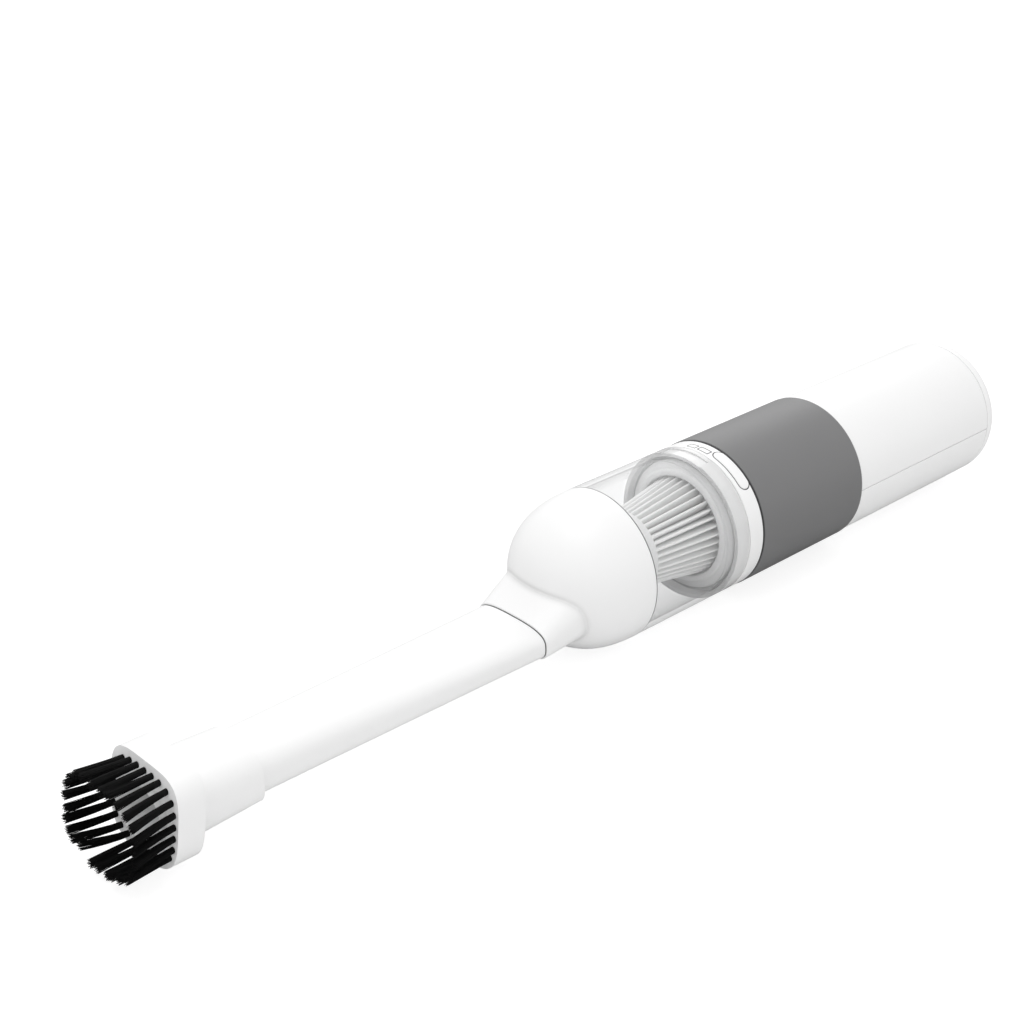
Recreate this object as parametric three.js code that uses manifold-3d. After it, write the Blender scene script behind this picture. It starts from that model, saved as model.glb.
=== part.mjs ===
// Cordless hand vacuum with a crevice nozzle, a brush head, a clear dust cup and a cylindrical handle.
// Millimetres, +Z up, the nose towards -X and the handle's end towards +X.
// All stations along X are measured from the seam between the nose and the clear cup, on the handle's axis.
// The finished model is moved once, so that its origin is the bottom centre of its bounding box.
import * as THREE from 'three';
import { mergeVertices } from 'three/addons/utils/BufferGeometryUtils.js';
import Module from 'manifold-3d';

const wasm = await Module();
wasm.setup();

// Fits and facets
const CLEARANCE = 0.3;
const SLIDING_FIT = 0.35;
const CUT_OVERRUN = 1;
const ROUND_STEPS = 40;
const INNER_ROUND_STEPS = 24;
const SMALL_ROUND_STEPS = 16;
const OVAL_STEPS = 28;
const ARC_STEPS = 7;
const INNER_ARC_STEPS = 5;
const PILL_STEPS = 3;
const EDGE_STEPS = 2;
const EDGE_CORNER_STEPS = 3;
const HOLE_STEPS = 8;
const MERGE_DISTANCE = 1e-4;

// Handle and cup, round about the X axis
const CUP_RADIUS = 35;
const HANDLE_INSET = 0.2;
const BAND_RISE = 0.3;
const SHELL_WALL = 2;
const BAND_WALL = 2.1;
const CUP_WALL = 2.2;
const NOSE_WALL = 2.2;
const NOSE_LENGTH = 40;
const NOSE_POWER = 2.4;
const CUP_LENGTH = 51.8;
const LOCK_RING_LENGTH = 8.3;
const COLLAR_LENGTH = 8.6;
const BAND_LENGTH = 71.4;
const SHELL_VISIBLE_LENGTH = 103.3;
const END_CAP_LENGTH = 7.6;
const END_CAP_ROUNDING = 5.5;

const handleRadius = CUP_RADIUS - HANDLE_INSET;
const bandRadius = CUP_RADIUS + BAND_RISE;

// Stations along X that follow from the lengths
const lockRingFront = CUP_LENGTH + CLEARANCE;
const lockRingRear = lockRingFront + LOCK_RING_LENGTH;
const collarFront = lockRingRear + CLEARANCE;
const collarRear = collarFront + COLLAR_LENGTH;
const bandFront = collarRear + CLEARANCE;
const bandRear = bandFront + BAND_LENGTH;
const shellStep = bandRear + CLEARANCE;
const shellRear = shellStep + SHELL_VISIBLE_LENGTH;
const endCapFront = shellRear + CLEARANCE;
const endCapRear = endCapFront + END_CAP_LENGTH;

// Nozzle, an oval tube that runs from the nose to the brush on its own axis
const NOZZLE_RISE = 21.8;
const NOZZLE_POWER = 3;
const NOZZLE_ROOT_HALF_WIDTH = 20.4;
const NOZZLE_ROOT_HALF_HEIGHT = 7.4;
const NOZZLE_TIP_HALF_WIDTH = 15.1;
const NOZZLE_TIP_HALF_HEIGHT = 10.3;
const NOZZLE_WALL = 1.7;
const NOZZLE_TAPER_LENGTH = 140.4;
const NOZZLE_TIP_LENGTH = 24.5;
const SPOUT_LENGTH = 11.2;
const SPOUT_STEP = 0.8;
const SPOUT_FOOT_HALF_WIDTH = 24.1;
const SPOUT_FOOT_HALF_HEIGHT = 15.9;
const SPOUT_FOOT_POWER = 2.4;
const SPOUT_FOOT_RISE = 7.7;
const SPOUT_FOOT_REACH = 10;
const SPOUT_DRAFT = 0.5;
const SPOUT_WALL = 1.8;
const PLUG_LENGTH = 20;
const PLUG_WALL = 1.5;
const DUCT_REACH = 22;

const nozzleDrop = CUP_RADIUS - NOZZLE_RISE;
const spoutTip = -NOSE_LENGTH - SPOUT_LENGTH;
const spoutFoot = -NOSE_LENGTH + SPOUT_FOOT_REACH;
const nozzleRoot = spoutTip - CLEARANCE;
const nozzleTaperEnd = nozzleRoot - NOZZLE_TAPER_LENGTH;
const nozzleTip = nozzleTaperEnd - NOZZLE_TIP_LENGTH;
const plugEnd = nozzleRoot + PLUG_LENGTH;
const ductEnd = -NOSE_LENGTH + DUCT_REACH;

// Brush head
const HEAD_HALF_WIDTH = 21;
const HEAD_HALF_HEIGHT = 21.4;
const HEAD_POWER = 3.6;
const MOUTH_POWER = 2;
const HEAD_DEPTH = 11.6;
const HEAD_EDGE = 1.2;
const HEAD_FACE_RECESS = 0.9;
const HEAD_RIM = 1.6;
const SLEEVE_LENGTH = 27;
const SLEEVE_WALL = 1.8;
const SLEEVE_EDGE = 0.9;
const SLEEVE_FOOT_HALF_HEIGHT = 14.4;
const SLEEVE_FOOT_HALF_WIDTH = 17.2;
const STOP_GAP = 0.8;
const MOUTH_HALF_WIDTH = 11.5;
const MOUTH_HALF_HEIGHT = 9.2;
const MOUTH_LIP = 1.4;
const MOUTH_LIP_REACH = 1.6;

const sleeveRear = nozzleTaperEnd - CLEARANCE;
const headRear = sleeveRear - SLEEVE_LENGTH;
const headFront = headRear - HEAD_DEPTH;
const headFace = headFront + HEAD_FACE_RECESS;

// Bristles, planted in tufts on four strips let into the head's face
const TUFTS_UPRIGHT_SIDE = 6;
const TUFTS_LEVEL_SIDE = 7;
const TUFT_STRANDS = 12;
const STRAND_SIDES = 3;
const STRAND_RADIUS = 0.27;
const STRAND_PITCH = 0.66;
const BRISTLE_LENGTH = 24.5;
const BRISTLE_SPREAD = 1.6;
const BRISTLE_LEAN = 0.45;
const BRISTLE_UNEVEN = 0.8;
const TUFT_RING_HALF_WIDTH = 16.6;
const TUFT_RING_HALF_HEIGHT = 16.8;
const TUFT_RING_POWER = 3.2;
const STRIP_WIDTH = 3.6;
const STRIP_DEPTH = 1.6;
const STRIP_STEPS = 12;
const STRIP_CORNER_SHARE = 0.04;

// Phases that vary the tufts' lean and the strands' ends from one to the next, in radians
const LEAN_ACROSS_PHASE = 2.4;
const LEAN_UPRIGHT_PHASE = 1.7;
const UNEVEN_TUFT_PHASE = 1.3;
const UNEVEN_STRAND_PHASE = 2.1;
const STRANDS_ROUND_MIDDLE = 6;

// Inlet flap, a rubber plate on a pin at the duct's inner end
const FLAP_THICKNESS = 1;
const FLAP_MARGIN = 0.6;
const FLAP_PIN_RADIUS = 0.8;
const FLAP_KNUCKLE_WALL = 0.8;
const FLAP_EAR_WIDTH = 2;
const FLAP_POWER = 5;

// Cup neck, its seal and the bayonet behind it
const NECK_INSET = 2.4;
const NECK_WALL = 1.6;
const NECK_LENGTH = 4;
const NOSE_LAP_LENGTH = 1.2;
const NOSE_LAP_WALL = 1.6;
const SEAL_THICKNESS = 1.2;
const LUG_COUNT = 3;
const LUG_ANGLE = 18;
const LUG_THICKNESS = 1.2;
const LUG_HEIGHT = 1;
const LUG_ENGAGEMENT = 0.7;
const LUG_FIRST_ANGLE = 30;
const THUMB_PAD_START = 73;
const THUMB_PAD_END = 112;
const THUMB_PAD_DEPTH = 0.6;
const THUMB_PAD_LENGTH = 5.7;

// Collar ring with the latch button
const COLLAR_WALL = 6.2;
const COLLAR_SKIRT_LENGTH = 7;
const COLLAR_SKIRT_WALL = 1.6;
const LATCH_ANGLE = 60.5;
const LATCH_LENGTH = 22;
const LATCH_WIDTH = 5.8;
const LATCH_HEIGHT = 2.6;
const LATCH_PROUD = 0.15;
const LATCH_TRAVEL = 1.5;
const LATCH_REAR_MARGIN = 0.1;

// Filter cone
const PLEATS = 36;
const PLEAT_TAPER = 4.6;
const PLEAT_MARGIN = 6.1;
const PLEAT_DEPTH_FRONT = 3;
const PLEAT_DEPTH_REAR = 4.2;
const PLEAT_PAPER = 0.7;
const PLEAT_RIDGE_SHARE = 0.16;
const PLEAT_LENGTH = 31;
const FILTER_CAP_LENGTH = 5;
const FILTER_CAP_EDGE = 1.5;
const FILTER_CAP_LIP = 0.8;
const FILTER_FLANGE_MARGIN = 1.5;
const FILTER_FLANGE_THICKNESS = 4;
const FILTER_FLANGE_EDGE = 1.2;
const FILTER_BORE_LIP = 1.2;
const FILTER_SHOULDER = 5.9;
const FILTER_PLUG_WALL = 2;
const FILTER_PLUG_LENGTH = 5.4;
const FILTER_SEAL_THICKNESS = 1;
const FILTER_SEAL_WIDTH = 1.8;

// Seat of the filter, a bulkhead with a guard of spokes
const SEAT_PLATE = 2.5;
const SEAT_TUBE_WALL = 1.8;
const SEAT_TUBE_LENGTH = 4.2;
const SEAT_GUARD_LIP = 4.1;
const SEAT_HUB_RADIUS = 5;
const SEAT_HUB_BORE = 3;
const SEAT_SPOKES = 6;
const SEAT_SPOKE_WIDTH = 1.6;

// Fan and its shroud
const SHROUD_MARGIN = 3.9;
const SHROUD_WALL = 1.6;
const SHROUD_DEPTH = 12;
const SHROUD_INLET_RADIUS = 10;
const FAN_RIM_GAP = 3.4;
const FAN_PLATE = 1.2;
const FAN_HUB_RADIUS = 4.5;
const FAN_HUB_LENGTH = 7.5;
const FAN_BLADES = 8;
const FAN_BLADE_HEIGHT = 5;
const FAN_BLADE_THICKNESS = 1;
const FAN_BLADE_ROOT_RADIUS = 8.5;
const FAN_BLADE_SWEEP = 50;
const FAN_BLADE_STEPS = 4;
const FAN_GAP = 1.2;

// Motor
const SHAFT_RADIUS = 1.5;
const SHAFT_FRONT_REACH = 0.5;
const MOTOR_RADIUS = 14;
const MOTOR_LENGTH = 36;
const MOTOR_EDGE = 1.2;
const MOTOR_NOSE_RADIUS = 5;
const MOTOR_NOSE_LENGTH = 2.4;
const MOTOR_CAP_RADIUS = 12.5;
const MOTOR_CAP_LENGTH = 4;
const MOTOR_CAP_BORE_DEPTH = 2.5;
const MOUNT_THICKNESS = 4;
const MOUNT_HOLES = 8;
const MOUNT_HOLE_RADIUS = 3.2;

// Battery, its cradle and the circuit board above it
const CELL_RADIUS = 9.2;
const CELL_LENGTH = 65;
const CELL_NIPPLE_RADIUS = 2.8;
const CELL_NIPPLE_LENGTH = 1;
const CELL_EDGE = 0.6;
const CELL_GAP = 0.6;
const CRADLE_WALL = 1.8;
const CRADLE_END_WALL = 2;
const CRADLE_LEG_INSET = 6;
const CRADLE_LEG_WIDTH = 2;
const CRADLE_OFFSET = 8;
const BOARD_THICKNESS = 1.6;
const BOARD_HEADROOM = 2.4;
const BOARD_REAR_GAP = 1.5;
const BOARD_CORNER = 2;
const SOCKET_WIDTH = 9;
const SOCKET_HEIGHT = 3.2;
const SOCKET_LENGTH = 11;
const SOCKET_WALL = 0.4;
const SOCKET_FLUSH_DEPTH = 0.4;
const SOCKET_BORE_DEPTH = 7;

// Exhaust slots in the end cap and the foam behind them
const SLOT_HEIGHT = 2;
const SLOT_PITCH = 4.2;
const SLOT_COUNT = 7;
const SLOT_FIELD_MARGIN = 4.3;
const SLOT_FIRST_DROP = 1.5;
const END_CAP_WALL = 2.2;
const END_CAP_LAP = 4.5;
const END_CAP_LAP_WALL = 1.8;
const FOAM_THICKNESS = 3.2;
const FOAM_TOP_GAP = 2;

// Power button and light, on the side away from the latch
const BUTTON_LENGTH = 15;
const BUTTON_WIDTH = 9;
const BUTTON_OFFSET = 24;
const BUTTON_RISE_SHARE = 0.503;
const BUTTON_PROUD = 0.4;
const BUTTON_TRAVEL = 1;
const BUTTON_DEPTH_SHARE = 0.5;
const BUTTON_STEM = 3;
const SWITCH_SIZE = 6;
const SWITCH_DEPTH = 4.5;
const SWITCH_TIP_RADIUS = 1.4;
const SWITCH_TIP_REACH = 0.8;
const LIGHT_RADIUS = 1.3;
const LIGHT_OFFSET = 15;
const LIGHT_LENGTH = 5;

// Feet under the handle
const FOOT_OFFSET = 32.4;
const FOOT_LENGTH = 40;
const FOOT_WIDTH = 2.8;
const FOOT_SPREAD = 9.4;
const FOOT_DROP = 0.5;
const FOOT_ROUNDING = 0.8;
const floorZ = -CUP_RADIUS - FOOT_DROP;

const bristleTip = headFace - BRISTLE_LENGTH - BRISTLE_UNEVEN;
const originX = (endCapRear + bristleTip) / 2;

// Materials
const finish = (color, roughness, metalness = 0) => (
  new THREE.MeshStandardMaterial({ color, roughness, metalness })
);
const whitePlastic = () => finish(0xf3f3f2, 0.38);
const greyBand = () => finish(0x77787a, 0.62);
const blackBristle = () => finish(0x101012, 0.5);
const blackPlastic = () => finish(0x2a2b2d, 0.5);
const filterPaper = () => finish(0xf1f0ec, 0.85);
const darkRubber = () => finish(0x3c3d3f, 0.8);
const steel = () => finish(0xb8bbbf, 0.3, 0.9);
const greenBoard = () => finish(0x1f5a3a, 0.55);
const cellWrap = () => finish(0x2f6fb0, 0.4);
const foamGrey = () => finish(0x55575a, 0.95);
const lightLens = () => finish(0xe8f3ff, 0.15);

function clearPlastic() {
  const material = finish(0xdfe5e8, 0.08);
  material.transparent = true;
  material.opacity = 0.35;
  return material;
}

// Solids from three.js geometry, and back
function solidOf(geometry) {
  const bare = geometry.clone();
  bare.deleteAttribute('normal');
  bare.deleteAttribute('uv');
  const merged = mergeVertices(bare, MERGE_DISTANCE);
  const corners = merged.index.array;
  const kept = [];
  for (let i = 0; i < corners.length; i += 3) {
    const [a, b, c] = [corners[i], corners[i + 1], corners[i + 2]];
    if (a !== b && b !== c && c !== a) kept.push(a, b, c);
  }
  return new wasm.Manifold(new wasm.Mesh({
    numProp: 3,
    vertProperties: Float32Array.from(merged.attributes.position.array),
    triVerts: Uint32Array.from(kept),
  }));
}

function geometryOf(solid) {
  const mesh = solid.getMesh();
  const geometry = new THREE.BufferGeometry();
  geometry.setAttribute('position', new THREE.BufferAttribute(Float32Array.from(mesh.vertProperties), 3));
  geometry.setIndex(Array.from(mesh.triVerts));
  geometry.computeVertexNormals();
  return geometry;
}

const model = new THREE.Group();
model.name = 'hand_vacuum';
model.position.set(-originX, 0, -floorZ);

function addPart(name, solid, material) {
  const mesh = new THREE.Mesh(geometryOf(solid), material);
  mesh.name = name;
  model.add(mesh);
}

// A closed profile of [station, radius] points turned about the X axis
function turned(profile, steps = ROUND_STEPS) {
  const points = profile.map(([x, r]) => new THREE.Vector2(r, x));
  if (THREE.ShapeUtils.area(points) < 0) points.reverse();
  const onAxis = points[0].x === 0 && points[points.length - 1].x === 0;
  if (!onAxis) points.push(points[0].clone());
  return solidOf(new THREE.LatheGeometry(points, steps).rotateZ(-Math.PI / 2));
}

function tube(x0, x1, outer, inner, steps) {
  return turned([[x0, outer], [x1, outer], [x1, inner], [x0, inner]], steps);
}

function rod(x0, x1, radius, steps = SMALL_ROUND_STEPS) {
  return turned([[x0, 0], [x0, radius], [x1, radius], [x1, 0]], steps);
}

// A quarter of an ellipse as profile points, from the first angle to the last, in quarter turns
function arcPoints(centreX, centreR, alongX, alongR, fromTurn, toTurn, steps = ARC_STEPS) {
  return Array.from({ length: steps + 1 }, (_, i) => {
    const angle = (fromTurn + (toTurn - fromTurn) * i / steps) * Math.PI / 2;
    return [centreX + alongX * Math.cos(angle), centreR + alongR * Math.sin(angle)];
  });
}

// A ring of points across the X axis, a rounded rectangle whose corners fill out as the power grows
function oval(x, halfWidth, halfHeight, power, centreZ = -nozzleDrop, steps = OVAL_STEPS) {
  return Array.from({ length: steps }, (_, i) => {
    const angle = 2 * Math.PI * i / steps;
    const [c, s] = [Math.cos(angle), Math.sin(angle)];
    return new THREE.Vector3(
      x,
      halfWidth * Math.sign(c) * Math.abs(c) ** (2 / power),
      centreZ + halfHeight * Math.sign(s) * Math.abs(s) ** (2 / power),
    );
  });
}

// Rings joined in order of growing X; hollow ones come back along the bore and close on the first ring
function lofted(rings, hollow = false) {
  const count = rings[0].length;
  const vertices = rings.flat().flatMap((point) => point.toArray());
  const corners = [];
  const spans = hollow ? rings.length : rings.length - 1;
  for (let i = 0; i < spans; i += 1) {
    const [here, next] = [i * count, ((i + 1) % rings.length) * count];
    for (let j = 0; j < count; j += 1) {
      const k = (j + 1) % count;
      corners.push(here + j, here + k, next + j, here + k, next + k, next + j);
    }
  }
  if (!hollow) {
    const last = (rings.length - 1) * count;
    for (let j = 1; j < count - 1; j += 1) {
      corners.push(0, j + 1, j, last, last + j, last + j + 1);
    }
  }
  const geometry = new THREE.BufferGeometry();
  geometry.setAttribute('position', new THREE.BufferAttribute(Float32Array.from(vertices), 3));
  geometry.setIndex(corners);
  return solidOf(geometry);
}

// A flat outline in the YZ plane pushed along X
function pushedX(outline, x0, x1) {
  const geometry = new THREE.ExtrudeGeometry(outline, {
    depth: x1 - x0,
    bevelEnabled: false,
    curveSegments: PILL_STEPS,
  });
  const turn = new THREE.Matrix4().makeBasis(
    new THREE.Vector3(0, 1, 0),
    new THREE.Vector3(0, 0, 1),
    new THREE.Vector3(1, 0, 0),
  );
  return solidOf(geometry.applyMatrix4(turn).translate(x0, 0, 0));
}

function box(x0, x1, y0, y1, z0, z1) {
  const geometry = new THREE.BoxGeometry(x1 - x0, y1 - y0, z1 - z0);
  return solidOf(geometry.translate((x0 + x1) / 2, (y0 + y1) / 2, (z0 + z1) / 2));
}

// Angles round the handle start at -Y and grow towards +Z
function around(angle, radius) {
  const radians = THREE.MathUtils.degToRad(angle);
  return new THREE.Vector2(-radius * Math.cos(radians), radius * Math.sin(radians));
}

// A block that follows the round wall between two radii and two angles
function wallBlock(x0, x1, inner, outer, fromAngle, toAngle) {
  const turn = toAngle - fromAngle;
  const angles = Array.from({ length: ARC_STEPS + 1 }, (_, i) => fromAngle + turn * i / ARC_STEPS);
  const points = [
    ...angles.map((angle) => around(angle, outer)),
    ...angles.reverse().map((angle) => around(angle, inner)),
  ];
  return pushedX(new THREE.Shape(points), x0, x1);
}

function pill(length, width) {
  const [run, radius] = [(length - width) / 2, width / 2];
  const shape = new THREE.Shape();
  shape.absarc(run, 0, radius, -Math.PI / 2, Math.PI / 2);
  shape.absarc(-run, 0, radius, Math.PI / 2, Math.PI * 3 / 2);
  return shape;
}

// A pill that stands on the X axis and points out of the wall at an angle, its length round the handle
function pillPost(centreX, angle, length, width, inner, outer) {
  const outward = around(angle, 1);
  const up = new THREE.Vector3(0, outward.x, outward.y);
  const sideways = new THREE.Vector3().crossVectors(up, new THREE.Vector3(1, 0, 0));
  const basis = new THREE.Matrix4().makeBasis(sideways, new THREE.Vector3().crossVectors(up, sideways), up);
  const geometry = new THREE.ExtrudeGeometry(pill(length, width), {
    depth: outer - inner,
    bevelEnabled: false,
    curveSegments: PILL_STEPS,
  });
  return solidOf(geometry.translate(0, 0, inner).applyMatrix4(basis).translate(centreX, 0, 0));
}

// A dome's profile from its foremost point back to the seam, fuller than an ellipse as the power grows
function domePoints(seam, front, radius, steps) {
  return Array.from({ length: steps + 1 }, (_, i) => {
    const angle = Math.PI / 2 * i / steps;
    const [along, across] = [Math.cos(angle), Math.sin(angle)].map((share) => share ** (2 / NOSE_POWER));
    return [seam + (front - seam) * along, radius * across];
  });
}

// Nose with a spout that runs down to the nozzle's outline
function makeNose() {
  const seam = -CLEARANCE / 2;
  const outer = turned([
    ...domePoints(seam, -NOSE_LENGTH, CUP_RADIUS, ARC_STEPS),
    [seam, 0],
  ]);
  const lapRadius = CUP_RADIUS - CUP_WALL - CLEARANCE;
  const lap = turned([
    [seam - NOSE_WALL, lapRadius],
    [NOSE_LAP_LENGTH, lapRadius],
    [NOSE_LAP_LENGTH, lapRadius - NOSE_LAP_WALL],
    [seam - NOSE_WALL, lapRadius - NOSE_LAP_WALL],
  ]);
  const cavityRadius = lapRadius - NOSE_LAP_WALL;
  const cavity = turned([
    ...domePoints(seam, -NOSE_LENGTH + NOSE_WALL, cavityRadius, INNER_ARC_STEPS),
    [NOSE_LAP_LENGTH + CUT_OVERRUN, cavityRadius],
    [NOSE_LAP_LENGTH + CUT_OVERRUN, 0],
  ]);
  const [width, height] = [NOZZLE_ROOT_HALF_WIDTH, NOZZLE_ROOT_HALF_HEIGHT];
  const footZ = SPOUT_FOOT_RISE - nozzleDrop;
  const spout = lofted([
    oval(spoutTip, width + SPOUT_STEP, height + SPOUT_STEP, NOZZLE_POWER),
    oval(spoutFoot, SPOUT_FOOT_HALF_WIDTH, SPOUT_FOOT_HALF_HEIGHT, SPOUT_FOOT_POWER, footZ),
  ]);
  const duct = lofted([
    oval(spoutTip, width, height, NOZZLE_POWER),
    oval(ductEnd, width + SPOUT_DRAFT, height + SPOUT_DRAFT, NOZZLE_POWER),
  ]);
  const socket = lofted([
    oval(spoutTip - CUT_OVERRUN, width - SPOUT_WALL, height - SPOUT_WALL, NOZZLE_POWER),
    oval(plugEnd + CLEARANCE, width - SPOUT_WALL, height - SPOUT_WALL, NOZZLE_POWER),
  ]);
  const bore = lofted([
    oval(plugEnd, boreHalfWidth, boreHalfHeight, NOZZLE_POWER),
    oval(ductEnd + CUT_OVERRUN, boreHalfWidth, boreHalfHeight, NOZZLE_POWER),
  ]);
  const body = outer.add(lap).add(spout).subtract(cavity).add(duct);
  return body.add(earOf(-1)).add(earOf(1)).subtract(socket).subtract(bore);
}

const boreHalfWidth = NOZZLE_ROOT_HALF_WIDTH - SPOUT_WALL - CLEARANCE - PLUG_WALL;
const boreHalfHeight = NOZZLE_ROOT_HALF_HEIGHT - SPOUT_WALL - CLEARANCE - PLUG_WALL;

// Flap, hung on a pin between two ears of the duct
const flapHalfWidth = boreHalfWidth + FLAP_MARGIN;
const flapHalfHeight = boreHalfHeight + FLAP_MARGIN;
const knuckleRadius = FLAP_PIN_RADIUS + CLEARANCE + FLAP_KNUCKLE_WALL;
const flapPinX = ductEnd + CLEARANCE + knuckleRadius;
const flapPinZ = -nozzleDrop + flapHalfHeight + CLEARANCE + knuckleRadius;
const knuckleHalfWidth = flapHalfWidth / 2;

function acrossRod(y0, y1, x, z, radius) {
  const length = y1 - y0;
  const geometry = new THREE.CylinderGeometry(radius, radius, length, HOLE_STEPS);
  return solidOf(geometry.translate(x, y0 + length / 2, z));
}

function earOf(side) {
  const inner = side * (knuckleHalfWidth + CLEARANCE);
  const outer = inner + side * FLAP_EAR_WIDTH;
  const [y0, y1] = [Math.min(inner, outer), Math.max(inner, outer)];
  const ear = box(ductEnd - NOSE_WALL, flapPinX, y0, y1, flapPinZ - knuckleRadius, flapPinZ + knuckleRadius)
    .add(acrossRod(y0, y1, flapPinX, flapPinZ, knuckleRadius));
  const hole = acrossRod(y0 - CUT_OVERRUN, y1 + CUT_OVERRUN, flapPinX, flapPinZ, FLAP_PIN_RADIUS + CLEARANCE);
  return ear.subtract(hole);
}

function makeFlap() {
  const front = ductEnd + CLEARANCE;
  const plate = lofted([
    oval(front, flapHalfWidth, flapHalfHeight, FLAP_POWER),
    oval(front + FLAP_THICKNESS, flapHalfWidth, flapHalfHeight, FLAP_POWER),
  ]);
  const web = box(front, front + FLAP_THICKNESS, -knuckleHalfWidth, knuckleHalfWidth, -nozzleDrop, flapPinZ);
  const knuckle = acrossRod(-knuckleHalfWidth, knuckleHalfWidth, flapPinX, flapPinZ, knuckleRadius);
  const hole = acrossRod(
    -knuckleHalfWidth - CUT_OVERRUN,
    knuckleHalfWidth + CUT_OVERRUN,
    flapPinX,
    flapPinZ,
    FLAP_PIN_RADIUS + CLEARANCE,
  );
  return plate.add(web).add(knuckle).subtract(hole);
}

function makeFlapPin() {
  const reach = knuckleHalfWidth + CLEARANCE + FLAP_EAR_WIDTH;
  return acrossRod(-reach, reach, flapPinX, flapPinZ, FLAP_PIN_RADIUS);
}

// Nozzle tube with the plug that enters the spout
function makeNozzle() {
  const plug = [boreHalfWidth + PLUG_WALL, boreHalfHeight + PLUG_WALL];
  const root = [NOZZLE_ROOT_HALF_WIDTH, NOZZLE_ROOT_HALF_HEIGHT];
  const tip = [NOZZLE_TIP_HALF_WIDTH, NOZZLE_TIP_HALF_HEIGHT];
  const inside = ([width, height]) => [width - NOZZLE_WALL, height - NOZZLE_WALL];
  const ringAt = (x, [width, height]) => oval(x, width, height, NOZZLE_POWER);
  return lofted([
    ringAt(nozzleTip, tip),
    ringAt(nozzleTaperEnd, tip),
    ringAt(nozzleRoot, root),
    ringAt(nozzleRoot, plug),
    ringAt(plugEnd, plug),
    ringAt(plugEnd, [boreHalfWidth, boreHalfHeight]),
    ringAt(nozzleRoot, [boreHalfWidth, boreHalfHeight]),
    ringAt(nozzleTaperEnd, inside(tip)),
    ringAt(nozzleTip, inside(tip)),
  ], true);
}

// Brush head: a sleeve on the nozzle's tip, a square collar and a lipped mouth
const sleeveBore = [NOZZLE_TIP_HALF_WIDTH + CLEARANCE, NOZZLE_TIP_HALF_HEIGHT + CLEARANCE];

function makeBrushHead() {
  const headRing = (x, inset) => oval(x, HEAD_HALF_WIDTH - inset, HEAD_HALF_HEIGHT - inset, HEAD_POWER);
  const collar = lofted([
    headRing(headFront, HEAD_EDGE / 2),
    headRing(headFront + HEAD_EDGE / 2, 0),
    headRing(headRear - HEAD_EDGE, 0),
    headRing(headRear, HEAD_EDGE),
  ]);
  const [boreWidth, boreHeight] = sleeveBore;
  const sleeveRing = (x, inset) => (
    oval(x, boreWidth + SLEEVE_WALL - inset, boreHeight + SLEEVE_WALL - inset, NOZZLE_POWER)
  );
  const sleeve = lofted([
    oval(headRear - HEAD_EDGE, SLEEVE_FOOT_HALF_WIDTH, SLEEVE_FOOT_HALF_HEIGHT, NOZZLE_POWER),
    sleeveRing(sleeveRear - SLEEVE_EDGE, 0),
    sleeveRing(sleeveRear, SLEEVE_EDGE),
  ]);
  const recess = lofted([
    headRing(headFront - CUT_OVERRUN, HEAD_RIM),
    headRing(headFace, HEAD_RIM),
  ]);
  const mouthRing = (x, grow) => oval(x, MOUTH_HALF_WIDTH + grow, MOUTH_HALF_HEIGHT + grow, MOUTH_POWER);
  const lip = lofted([
    mouthRing(headFace - MOUTH_LIP_REACH, MOUTH_LIP),
    mouthRing(headFace + MOUTH_LIP, MOUTH_LIP),
  ]);
  const socket = lofted([
    oval(nozzleTip - STOP_GAP, boreWidth, boreHeight, NOZZLE_POWER),
    oval(sleeveRear + CUT_OVERRUN, boreWidth, boreHeight, NOZZLE_POWER),
  ]);
  const mouth = lofted([
    mouthRing(headFace - MOUTH_LIP_REACH - CUT_OVERRUN, 0),
    mouthRing(headFace + MOUTH_LIP, 0),
    oval(
      nozzleTip - STOP_GAP + CLEARANCE,
      NOZZLE_TIP_HALF_WIDTH - NOZZLE_WALL,
      NOZZLE_TIP_HALF_HEIGHT - NOZZLE_WALL,
      NOZZLE_POWER,
    ),
  ]);
  const grooveFloor = headFace + STRIP_DEPTH + CLEARANCE;
  const groove = stripRing(STRIP_WIDTH + 2 * CLEARANCE, headFace - CUT_OVERRUN, grooveFloor);
  return collar.add(sleeve).subtract(recess).add(lip).subtract(groove).subtract(socket).subtract(mouth);
}

// The ring that the tufts stand on, as wide as the strips or their groove
function stripRing(width, x0, x1) {
  const [halfWidth, halfHeight] = [TUFT_RING_HALF_WIDTH, TUFT_RING_HALF_HEIGHT];
  const ringAt = (x, grow) => oval(x, halfWidth + grow, halfHeight + grow, TUFT_RING_POWER);
  return lofted([
    ringAt(x0, width / 2),
    ringAt(x1, width / 2),
    ringAt(x1, -width / 2),
    ringAt(x0, -width / 2),
  ], true);
}

// A point of the tuft ring by its share of the way along one side, seen from the mouth
function tuftPlace(side, share) {
  const angle = Math.PI / 2 * (side + share) - Math.PI / 4;
  const [c, s] = [Math.cos(angle), Math.sin(angle)];
  const scale = (Math.abs(c) ** TUFT_RING_POWER + Math.abs(s) ** TUFT_RING_POWER) ** (-1 / TUFT_RING_POWER);
  return new THREE.Vector2(TUFT_RING_HALF_WIDTH * scale * c, TUFT_RING_HALF_HEIGHT * scale * s);
}

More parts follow.
